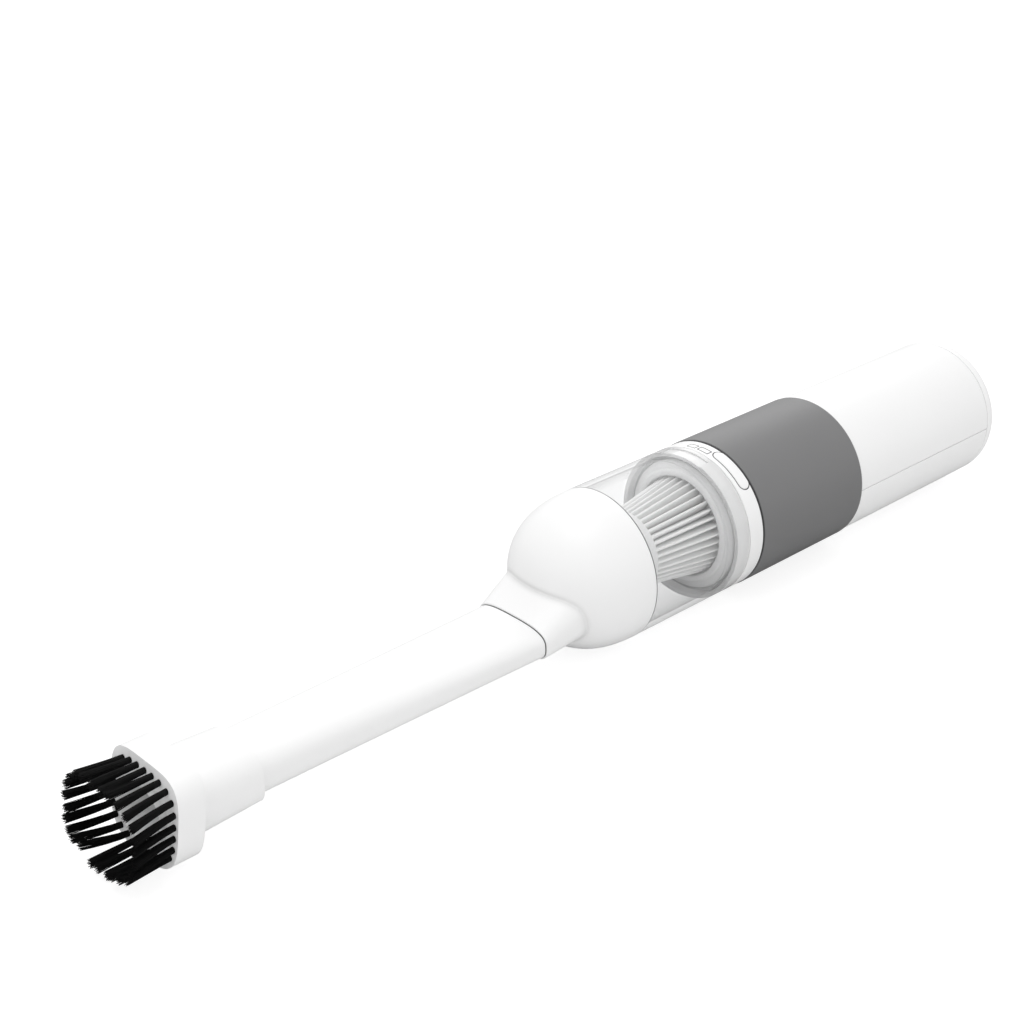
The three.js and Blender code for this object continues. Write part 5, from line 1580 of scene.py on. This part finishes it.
@dataclass
class Coupling:
    """The lock ring, the collar with its lugs, the latch button and the seat of the filter."""

    layout: Layout
    radius: float = 35 * MM
    ring_bore: float = 32.9 * MM
    lock_lug_tip: float = 31.9 * MM
    collar_lug_tip: float = 32.6 * MM
    spigot_radius: float = 31.6 * MM
    spigot_inner: float = 30.0 * MM
    collar_bore: float = 28.8 * MM
    collar_length: float = 8.6 * MM
    skirt_outer: float = 30.5 * MM
    skirt_inner: float = 28.9 * MM
    lug_thickness: float = 1.2 * MM
    lock_lug_thickness: float = 1.3 * MM
    lug_root: float = 0.1 * MM
    lug_first_angle: float = 30.0
    lug_angle: float = 18.0
    lugs: int = 3
    pad_angles: tuple[float, float] = (73.0, 112.0)
    pad_depth: float = 0.6 * MM
    pad_length: float = 5.7 * MM
    latch_angle: float = 60.5
    latch_length: float = 22 * MM
    latch_width: float = 5.8 * MM
    latch_height: float = 2.6 * MM
    latch_proud: float = 0.15 * MM
    latch_gap: float = 0.5 * MM
    block_half_angle: float = 28.0
    block_steps: int = 64
    window_depth: float = 5.9 * MM
    marks: tuple[tuple[float, float], ...] = ((80.8, 91.2), (93.0, 101.5))
    mark_start: float = 1.5 * MM
    mark_width: float = 3.6 * MM
    mark_depth: float = 0.35 * MM
    mark_line: float = 0.5 * MM
    shadow_inlay_inset: float = 0.04 * MM
    surround_depth: float = 1.4 * MM
    edge: float = 0.3 * MM

    def teeth(self, form: Form, stations: tuple[float, float], radii: tuple[float, float]) -> None:
        """Adds the bayonet lugs to a form.

        Args:
            form: The ring that carries them.
            stations: Where they start and end.
            radii: Their inner and outer radius.
        """
        for index in range(self.lugs):
            first = self.lug_first_angle + 360 * index / self.lugs
            form.joined(ring_block(self.layout, stations, radii, (first, first + self.lug_angle)))

    def lock_ring(self) -> None:
        """Builds the ring that turns."""
        front, rear = span_of("lock_ring")
        profile = eased([
            corner(front, self.radius, ease=self.edge),
            corner(rear, self.radius, ease=self.edge),
            corner(rear, self.ring_bore, ease=FINE_EDGE),
            corner(front, self.ring_bore, ease=FINE_EDGE),
        ])
        form = self.layout.turned(profile)
        pad = ring_block(
            self.layout,
            (front - CUT_OVERRUN, front + self.pad_length),
            (self.radius - self.pad_depth, self.radius + CUT_OVERRUN),
            self.pad_angles,
        )
        form.carved(pad)
        self.teeth(form, (rear - self.lock_lug_thickness, rear), (self.lock_lug_tip, self.ring_bore + self.lug_root))
        finished("lock_sleeve", form, Finish.MILKY, Seat("ring", "clear_plastic", ("lock_ring",)))

    def collar(self) -> None:
        """Builds the collar ring with the latch's window."""
        front, skirt_end = span_of("collar_ring")
        shoulder = span_of("lock_ring")[1] + CLEARANCE
        rear = shoulder + self.collar_length
        profile = eased([
            corner(front, self.spigot_radius, ease=self.edge),
            corner(shoulder, self.spigot_radius),
            corner(shoulder, self.radius, ease=self.edge),
            corner(rear, self.radius, ease=self.edge),
            corner(rear, self.skirt_outer),
            corner(skirt_end, self.skirt_outer, ease=self.edge),
            corner(skirt_end, self.skirt_inner, ease=self.edge),
            corner(rear, self.collar_bore),
            corner(shoulder, self.collar_bore),
            corner(shoulder, self.spigot_inner),
            corner(front, self.spigot_inner, ease=self.edge),
        ])
        form = self.layout.turned(profile)
        window = self.latch_post(self.latch_gap, (self.radius - self.window_depth, self.radius + CUT_OVERRUN))
        form.carved(window)
        for angles in self.marks:
            form.carved(self.mark(shoulder, angles, self.radius + CUT_OVERRUN))
        radii = (self.spigot_radius - self.lug_root, self.collar_lug_tip)
        self.teeth(form, (front, front + self.lug_thickness), radii)
        finished("collar_wall", form, Finish.WHITE, Seat("handle", "white_plastic", ("collar_ring",)))

    def mark(self, shoulder: float, angles: tuple[float, float], top: float) -> Form:
        """Gives the outline of one bare rectangular mark.

        Args:
            shoulder: The station of the collar's front.
            angles: The mark's first and last angle, in degrees.
            top: The radius that the outline reaches out to.

        Returns:
            A rectangular post less a smaller one.
        """
        start = shoulder + self.mark_start
        end = start + self.mark_width
        floor = self.radius - self.mark_depth
        turn = math.degrees(self.mark_line / self.radius)
        outer = ring_block(self.layout, (start, end), (floor, top), angles)
        inner = ring_block(
            self.layout,
            (start + self.mark_line, end - self.mark_line),
            (floor - CUT_OVERRUN, top + CUT_OVERRUN),
            (angles[0] + turn, angles[1] - turn),
        )
        return outer.carved(inner)

    def shadow_inlays(self) -> None:
        """Builds dark rubber in the marks' grooves and round the latch, which paints the shadow in those grooves and
        in the latch's gap.
        """
        shoulder = span_of("lock_ring")[1] + CLEARANCE
        top = self.radius - self.shadow_inlay_inset
        seat = Seat("handle", "dark_rubber")
        # Painted shadow: dark rubber fills the grooves and the gap, where there is only shade
        lines = Form()
        for angles in self.marks:
            lines.joined(self.mark(shoulder, angles, top))
        finished("collar_mark_shadows", lines, Finish.RUBBER, seat)
        post = self.latch_post(self.latch_gap, (self.radius / 2, self.radius + CUT_OVERRUN))
        hole = self.latch_post(self.latch_gap / 5, (self.radius / 3, self.radius + 2 * CUT_OVERRUN))
        block = self.latch_block((shoulder, shoulder + self.collar_length), (top - self.surround_depth, top))
        finished("latch_shadow_surround", block.carved(post, "INTERSECT").carved(hole), Finish.RUBBER, seat)

    def latch_post(self, gap: float, radii: tuple[float, float]) -> Form:
        """Returns a post with the latch's outline, grown all round by a gap, between two radii."""
        low, high = span_of("release_button")
        length, width = self.latch_length + 2 * gap, self.latch_width + 2 * gap
        return pill_post(self.layout, (low + high) / 2, self.latch_angle, length, width, radii)

    def latch_block(self, stations: tuple[float, float], radii: tuple[float, float]) -> Form:
        """Returns a block of the round wall about the latch, between two stations and two radii."""
        angles = (self.latch_angle - self.block_half_angle, self.latch_angle + self.block_half_angle)
        return ring_block(self.layout, stations, radii, angles, self.block_steps)

    def latch(self) -> None:
        """Builds the latch button, whose top follows the collar."""
        top = self.radius + self.latch_proud
        low, high = span_of("release_button")
        block = self.latch_block((low - CUT_OVERRUN, high + CUT_OVERRUN), (top - self.latch_height, top))
        post = self.latch_post(0.0, (self.radius / 2, self.radius + 2 * CUT_OVERRUN))
        form = block.carved(post, "INTERSECT").softened(self.edge)
        finished("latch_button", form, Finish.WHITE, Seat("latch", "white_plastic", ("release_button",)))

    def build(self) -> None:
        """Builds the coupling's pieces."""
        self.lock_ring()
        self.collar()
        self.shadow_inlays()
        self.latch()
        dressed("filter_seat", Finish.LIGHT_GREY)


# Handle


@dataclass
class Handle:
    """The grip band, the two shells, the end cap, the feet, the power key and the light."""

    layout: Layout
    radius: float = 34.8 * MM
    band_radius: float = 35.3 * MM
    band_wall: float = 2.1 * MM
    band_step: float = 0.75 * MM
    band_drop: float = 0.7 * MM
    band_edge: float = 0.45 * MM
    shell_wall: float = 2.0 * MM
    shell_edge: float = 0.3 * MM
    parting: float = 0.3 * MM
    parting_edge: float = 0.22 * MM
    skin: float = 0.05 * MM
    cap_rounding: float = 5.5 * MM
    cap_wall: float = 2.2 * MM
    cap_lap: float = 4.5 * MM
    cap_lap_wall: float = 1.8 * MM
    cap_inner_rounding: float = 2.4 * MM
    cap_steps: int = 12
    slot_steps: int = 12
    slot_edge: float = 0.25 * MM
    slot_sharp_angle: float = math.radians(70)
    slot_count: int = 7
    slot_height: float = 2.0 * MM
    slot_pitch: float = 4.2 * MM
    slot_field_radius: float = 25 * MM
    slot_top: float = 8.4 * MM
    key_fit: float = 0.35 * MM
    key_depth: float = 3.0 * MM
    key_proud: float = 0.4 * MM
    key_edge: float = 0.4 * MM
    block_half_angle: float = 16.0
    block_steps: int = 48
    foot_sunk: float = 0.25 * MM
    foot_edge: float = 0.7 * MM
    tongue_depth: float = 6.9 * MM
    tongue_half_width: float = 3.1 * MM
    tongue_half_height: float = 0.35 * MM
    tongue_edge: float = 0.12 * MM
    tongue_recess: float = 1.0 * MM
    contacts: int = 6
    contact_pitch: float = 0.9 * MM
    contact_half_width: float = 0.2 * MM
    contact_half_height: float = 0.04 * MM
    contact_start: float = 1.0 * MM
    contact_recess: float = 1.5 * MM

    def band(self) -> None:
        """Builds the grip band, and a thin dark rubber ring on its front step that paints the shadow in the step."""
        front, rear = span_of("grip_band")
        inner = self.band_radius - self.band_wall
        step = front + self.band_step
        low = self.band_radius - self.band_drop
        profile = eased([
            corner(front, low),
            corner(step, low),
            corner(step, self.band_radius, ease=SMALL_EDGE),
            corner(rear, self.band_radius, ease=self.band_edge),
            corner(rear, inner, ease=FINE_EDGE),
            corner(front, inner, ease=FINE_EDGE),
        ])
        form = self.layout.turned(profile)
        finished("grip_sleeve", form, Finish.GRIP, Seat("handle", "grey_band", ("grip_band",)))
        # Painted shadow: dark rubber lies in the step where there is only shade
        ring = thin_ring(self.layout, (front, step), (low, self.band_radius - self.band_drop / 2))
        finished("band_shadow_ring", ring, Finish.RUBBER, Seat("handle", "dark_rubber"))

    def shell(self) -> Form:
        """Returns the two shells as one tube, with the step that the band lies on."""
        front, rear = span_of("lower_shell")
        step = span_of("grip_band")[1] + CLEARANCE
        outer_front = self.band_radius - self.band_wall - CLEARANCE
        inner_front = outer_front - self.shell_wall
        inner = self.radius - self.shell_wall
        profile = eased([
            corner(front, outer_front),
            corner(step, outer_front),
            corner(step, self.radius, ease=self.shell_edge),
            corner(rear, self.radius, ease=self.shell_edge),
            corner(rear, inner),
            corner(step + self.shell_wall, inner),
            corner(step, inner_front),
            corner(front, inner_front),
        ])
        return self.layout.turned(profile)

    def half(self, side: int) -> Form:
        """Returns one half of the shell, with its parting edges softened.

        Args:
            side: 1 for the upper half and -1 for the lower.

        Returns:
            The half.
        """
        form = self.shell()
        level = self.layout.axis_z + side * self.parting / 2
        cut = bmesh.ops.bisect_plane(
            form.bm,
            geom=[*form.bm.verts, *form.bm.edges, *form.bm.faces],
            plane_co=(0.0, 0.0, level),
            plane_no=(0.0, 0.0, float(side)),
            clear_inner=True,
        )
        edges = [g for g in cut["geom_cut"] if isinstance(g, bmesh.types.BMEdge)]
        bmesh.ops.edgenet_fill(form.bm, edges=edges)
        form.clean()
        outside = self.radius - self.skin
        return form.softened(self.parting_edge, where=lambda p: abs(p.z - level) < NEAR and abs(p.y) > outside)

    def across_post(self, node: str, growth: float) -> Form:
        """Returns a post along +Y with the outline of the power key or the light, grown all round."""
        low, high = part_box(node)
        size = (high.x - low.x + 2 * growth, high.z - low.z + 2 * growth)
        middle = Vector(((low.x + high.x) / 2, 0.0, (low.z + high.z) / 2))
        return Form().prism(pill_outline(middle, X_WAY, Z_WAY, size), Y_WAY * (self.band_radius + CUT_OVERRUN))

    def shells(self) -> None:
        """Builds the two shells, with the key's window and the light's hole in the upper one."""
        upper = self.half(1)
        for node in ("power_button", "status_light"):
            upper.carved(self.across_post(node, self.key_fit))
        finished("shell_upper", upper, Finish.WHITE, Seat("handle", "white_plastic", ("upper_shell",)))
        finished("shell_lower", self.half(-1), Finish.WHITE, Seat("handle", "white_plastic", ("lower_shell",)))

    def capped_post(self, node: str, proud: float, edge: float) -> Form:
        """Gives a post whose end follows the handle's wall.

        Args:
            node: The node whose outline it takes.
            proud: How far it stands out of the wall.
            edge: The rounding of its rim.

        Returns:
            The post.
        """
        low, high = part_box(node)
        top = self.radius + proud
        middle = math.degrees(math.asin(((low.z + high.z) / 2 - self.layout.axis_z) / self.radius))
        block = ring_block(
            self.layout,
            (low.x - CUT_OVERRUN, high.x + CUT_OVERRUN),
            (top - self.key_depth, top),
            (180.0 - middle - self.block_half_angle, 180.0 - middle + self.block_half_angle),
            self.block_steps,
        )
        return block.carved(self.across_post(node, 0.0), "INTERSECT").softened(edge)

    def key(self) -> None:
        """Builds the power key and the light."""
        form = self.capped_post("power_button", self.key_proud, self.key_edge)
        finished("power_key_cap", form, Finish.WHITE, Seat("power_key", "white_plastic", ("power_button",)))
        form = self.capped_post("status_light", 0.0, FINE_EDGE)
        finished("light_pipe", form, Finish.LENS, Seat("handle", "light_lens", ("status_light",)))

    def slot(self, centre_z: float, half_width: float, height: float) -> Form:
        """Returns a post along X with round ends, for a slot in the end cap."""
        middle = Vector((span_of("end_cap")[1] - 3 * self.cap_wall, 0.0, centre_z))
        outline = pill_outline(middle, Y_WAY, Z_WAY, (2 * half_width, height), self.slot_steps)
        return Form().prism(outline, X_WAY * (6 * self.cap_wall))

    def cap(self) -> None:
        """Builds the end cap with its exhaust slots and the socket's window."""
        lap_start, rear = span_of("end_cap")
        front = lap_start + self.cap_lap
        inner = self.radius - self.shell_wall - CLEARANCE
        lap_inner = inner - self.cap_lap_wall
        inside = rear - self.cap_wall
        flat = self.radius - self.cap_rounding
        profile = [
            *eased([
                corner(front + 1.0 * MM, self.radius),
                corner(front, self.radius, ease=self.shell_edge),
                corner(front, inner),
                corner(lap_start, inner, ease=SMALL_EDGE),
                corner(lap_start, lap_inner, ease=SMALL_EDGE),
                corner(inside, lap_inner, ease=self.cap_inner_rounding),
                corner(inside, 0.0),
            ], closed=False)[1:],
            Vector((rear, 0.0)),
        ]
        for step in range(self.cap_steps + 1):
            turn = math.pi / 2 * step / self.cap_steps
            profile.append(Vector((
                rear - self.cap_rounding * (1 - math.cos(turn)),
                flat + self.cap_rounding * math.sin(turn),
            )))
        form = self.layout.turned(profile)
        axis_z = self.layout.axis_z
        for index in range(self.slot_count):
            rise = self.slot_top - index * self.slot_pitch
            half_width = math.sqrt(self.slot_field_radius ** 2 - rise ** 2)
            form.carved(self.slot(axis_z + rise, half_width, self.slot_height))
        low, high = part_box("charge_socket")
        window_height = high.z - low.z + 2 * self.key_fit
        form.carved(self.slot((low.z + high.z) / 2, (high.y - low.y) / 2 + self.key_fit, window_height))
        form.softened(self.slot_edge, self.slot_sharp_angle, lambda p: abs(p.x - rear) < NEAR)
        finished("rear_cap", form, Finish.WHITE, Seat("handle", "white_plastic", ("end_cap",)))

    def feet(self) -> None:
        """Builds the two rubber feet."""
        for side in ("left", "right"):
            low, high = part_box(f"foot_{side}")
            form = Form().block(low, (high.x, high.y, high.z + self.foot_sunk), self.foot_edge)
            finished(f"foot_pad_{side}", form, Finish.RUBBER, Seat("handle", "dark_rubber", (f"foot_{side}",)))

    def socket(self) -> None:
        """Builds the tongue inside the charging socket, with its contacts."""
        low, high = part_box("charge_socket")
        middle = (low + high) / 2
        root = high.x - self.tongue_depth
        across, up = Y_WAY * self.tongue_half_width, Z_WAY * self.tongue_half_height
        start, end = (Vector((x, middle.y, middle.z)) for x in (root, high.x - self.tongue_recess))
        tongue = Form().block(start - across - up, end + across + up, self.tongue_edge, segments=2)
        finished("socket_tongue", tongue, Finish.BLACK, Seat("handle", "black_plastic"))
        contacts = Form()
        ends = (root + self.contact_start, high.x - self.contact_recess)
        size = Y_WAY * self.contact_half_width + Z_WAY * self.contact_half_height
        for index in range(self.contacts):
            across = middle.y + (index - (self.contacts - 1) / 2) * self.contact_pitch
            for level in (-1, 1):
                start, end = (Vector((x, across, middle.z + level * self.tongue_half_height)) for x in ends)
                contacts.block(start - size, end + size)
        finished("socket_contacts", contacts, Finish.STEEL, Seat("handle", "steel"))

    def build(self) -> None:
        """Builds the handle's pieces."""
        self.band()
        self.shells()
        self.cap()
        self.key()
        self.feet()
        self.socket()


@dataclass
class InnerWorks:
    """The fan, motor, battery and board inside the closed handle, which keep their shapes."""

    def build(self) -> None:
        """Dresses each node."""
        finishes = {
            "fan_shroud": Finish.BLACK,
            "fan": Finish.BLACK,
            "motor_shaft": Finish.STEEL,
            "motor_can": Finish.CAN,
            "motor_cap": Finish.BLACK,
            "motor_mount": Finish.RUBBER,
            "battery_cell_left": Finish.SLEEVE,
            "battery_cell_right": Finish.SLEEVE,
            "battery_cradle": Finish.BLACK,
            "circuit_board": Finish.BOARD,
            "power_switch": Finish.BLACK,
            "charge_socket": Finish.STEEL,
            "exhaust_foam": Finish.FOAM,
        }
        for node, finish in finishes.items():
            dressed(node, finish)


# Studio


@dataclass
class Studio:
    """The pale floor, the soft light and the camera at the photograph's angle."""

    layout: Layout
    camera_from_seam: tuple[float, float, float] = (-496.69 * MM, -477.65 * MM, 379.46 * MM)
    camera_right: tuple[float, float, float] = (0.73158, -0.68176, 0.0)
    camera_up: tuple[float, float, float] = (0.31199, 0.33480, 0.88914)
    focal_pixels: float = 1800.0
    picture_pixels: float = 1024.0
    sensor: float = 36.0
    nearest: float = 0.01
    farthest: float = 50.0
    floor_size: float = 12.0
    floor_glow: float = 0.84
    floor_shade: float = 0.3
    floor_albedo: float = 0.93
    mirrored_albedo: float = 0.3
    sky_low: float = 0.78
    sky_high: float = 0.98
    overhead_place: tuple[float, float, float] = (-0.25, 0.1, 1.6)
    overhead_size: float = 1.3
    overhead_watts: float = 7.5
    back_place: tuple[float, float, float] = (1.0, 0.95, 0.8)
    back_size: float = 1.0
    back_watts: float = 4.0

    def camera(self) -> None:
        """Sets the camera."""
        data = bpy.data.cameras.new("camera")
        data.sensor_width = self.sensor
        data.lens = self.sensor * self.focal_pixels / self.picture_pixels
        data.clip_start = self.nearest
        data.clip_end = self.farthest
        right, up = Vector(self.camera_right).normalized(), Vector(self.camera_up).normalized()
        back = right.cross(up)
        turn = Matrix((right, up, back)).transposed().to_4x4()
        place = Vector(self.camera_from_seam) + Vector((self.layout.seam_x, 0.0, self.layout.axis_z))
        camera = shown("camera", data)
        camera.matrix_world = Matrix.Translation(place) @ turn
        bpy.context.scene.camera = camera

    def floor(self) -> None:
        """Lays the floor: white to the camera, greyer in what it throws back, and darkest in gloss."""
        form = Form()
        bmesh.ops.create_grid(form.bm, x_segments=1, y_segments=1, size=self.floor_size / 2)
        data = form.mesh("floor")
        shader = Shader("pale_floor")
        seen_floor, far_floor, mirrored_floor = (
            shader.node("ShaderNodeBsdfPrincipled", inputs={
                "Base Color": (*[albedo] * 3, 1.0),
                "Roughness": 1.0,
                "Specular IOR Level": 0.0,
                "Emission Color": (1.0, 1.0, 1.0, 1.0),
                "Emission Strength": glow,
            })
            for albedo, glow in (
                (self.floor_shade, self.floor_glow),
                (self.floor_albedo, 0.0),
                (self.mirrored_albedo, 0.0),
            )
        )
        seen = shader.node("ShaderNodeLightPath", output="Is Camera Ray")
        mirrored = shader.node("ShaderNodeLightPath", output="Is Glossy Ray")
        unseen = shader.node("ShaderNodeMixShader", inputs={0: mirrored, 1: far_floor, 2: mirrored_floor})
        mixed = shader.node("ShaderNodeMixShader", inputs={0: seen, 1: unseen, 2: seen_floor})
        data.materials.append(shader.finish(mixed))
        shown("floor", data)

    def lamp(self, name: str, place: Vector, aim: Vector, size: float, watts: float) -> None:
        """Hangs a square soft lamp.

        Args:
            name: Its name.
            place: Where it hangs.
            aim: What it points at.
            size: Its side.
            watts: Its power.
        """
        data = bpy.data.lights.new(name, "AREA")
        data.shape = "SQUARE"
        data.size = size
        data.energy = watts
        turn = (aim - place).to_track_quat("-Z", "Y")
        shown(name, data).matrix_world = Matrix.Translation(place) @ turn.to_matrix().to_4x4()

    def sky(self) -> None:
        """Hangs a white sky, brightest overhead."""
        shader = Shader("studio", world=True)
        direction = shader.node("ShaderNodeTexCoord", output="Generated")
        height = shader.node("ShaderNodeSeparateXYZ", inputs={0: direction}, output="Z")
        glow = shader.node(
            "ShaderNodeMapRange",
            inputs={"Value": height, "To Min": self.sky_low, "To Max": self.sky_high},
        )
        seen = shader.node("ShaderNodeLightPath", output="Is Camera Ray")
        strength = glow * (1 - seen) + seen
        white = shader.node("ShaderNodeBackground", inputs={"Color": (1.0, 1.0, 1.0, 1.0), "Strength": strength})
        bpy.context.scene.world = shader.finish(white)

    def light(self) -> None:
        """Sets the sky and the lamps."""
        self.sky()
        middle = Vector((0.0, 0.0, self.layout.axis_z))
        self.lamp("overhead", Vector(self.overhead_place), middle, self.overhead_size, self.overhead_watts)
        self.lamp("back", Vector(self.back_place), middle, self.back_size, self.back_watts)
        bpy.context.scene.view_settings.view_transform = "Standard"

    def build(self) -> None:
        """Sets up the studio."""
        self.camera()
        self.floor()
        self.light()


def main() -> None:
    """Builds the studio and every sub-assembly in order."""
    logging.basicConfig(level=logging.INFO, format="%(message)s")
    layout = Layout.read()
    Studio(layout).build()
    nozzle = Nozzle(layout)
    head = BrushHead(layout, nozzle)
    assemblies = [
        nozzle,
        head,
        Bristles(layout, head),
        Nose(layout, nozzle),
        DustCup(layout),
        Filter(layout),
        Coupling(layout),
        Handle(layout),
        InnerWorks(),
    ]
    for assembly in assemblies:
        log.info("building %s", type(assembly).__name__)
        assembly.build()


if __name__ == "__main__":
    main()
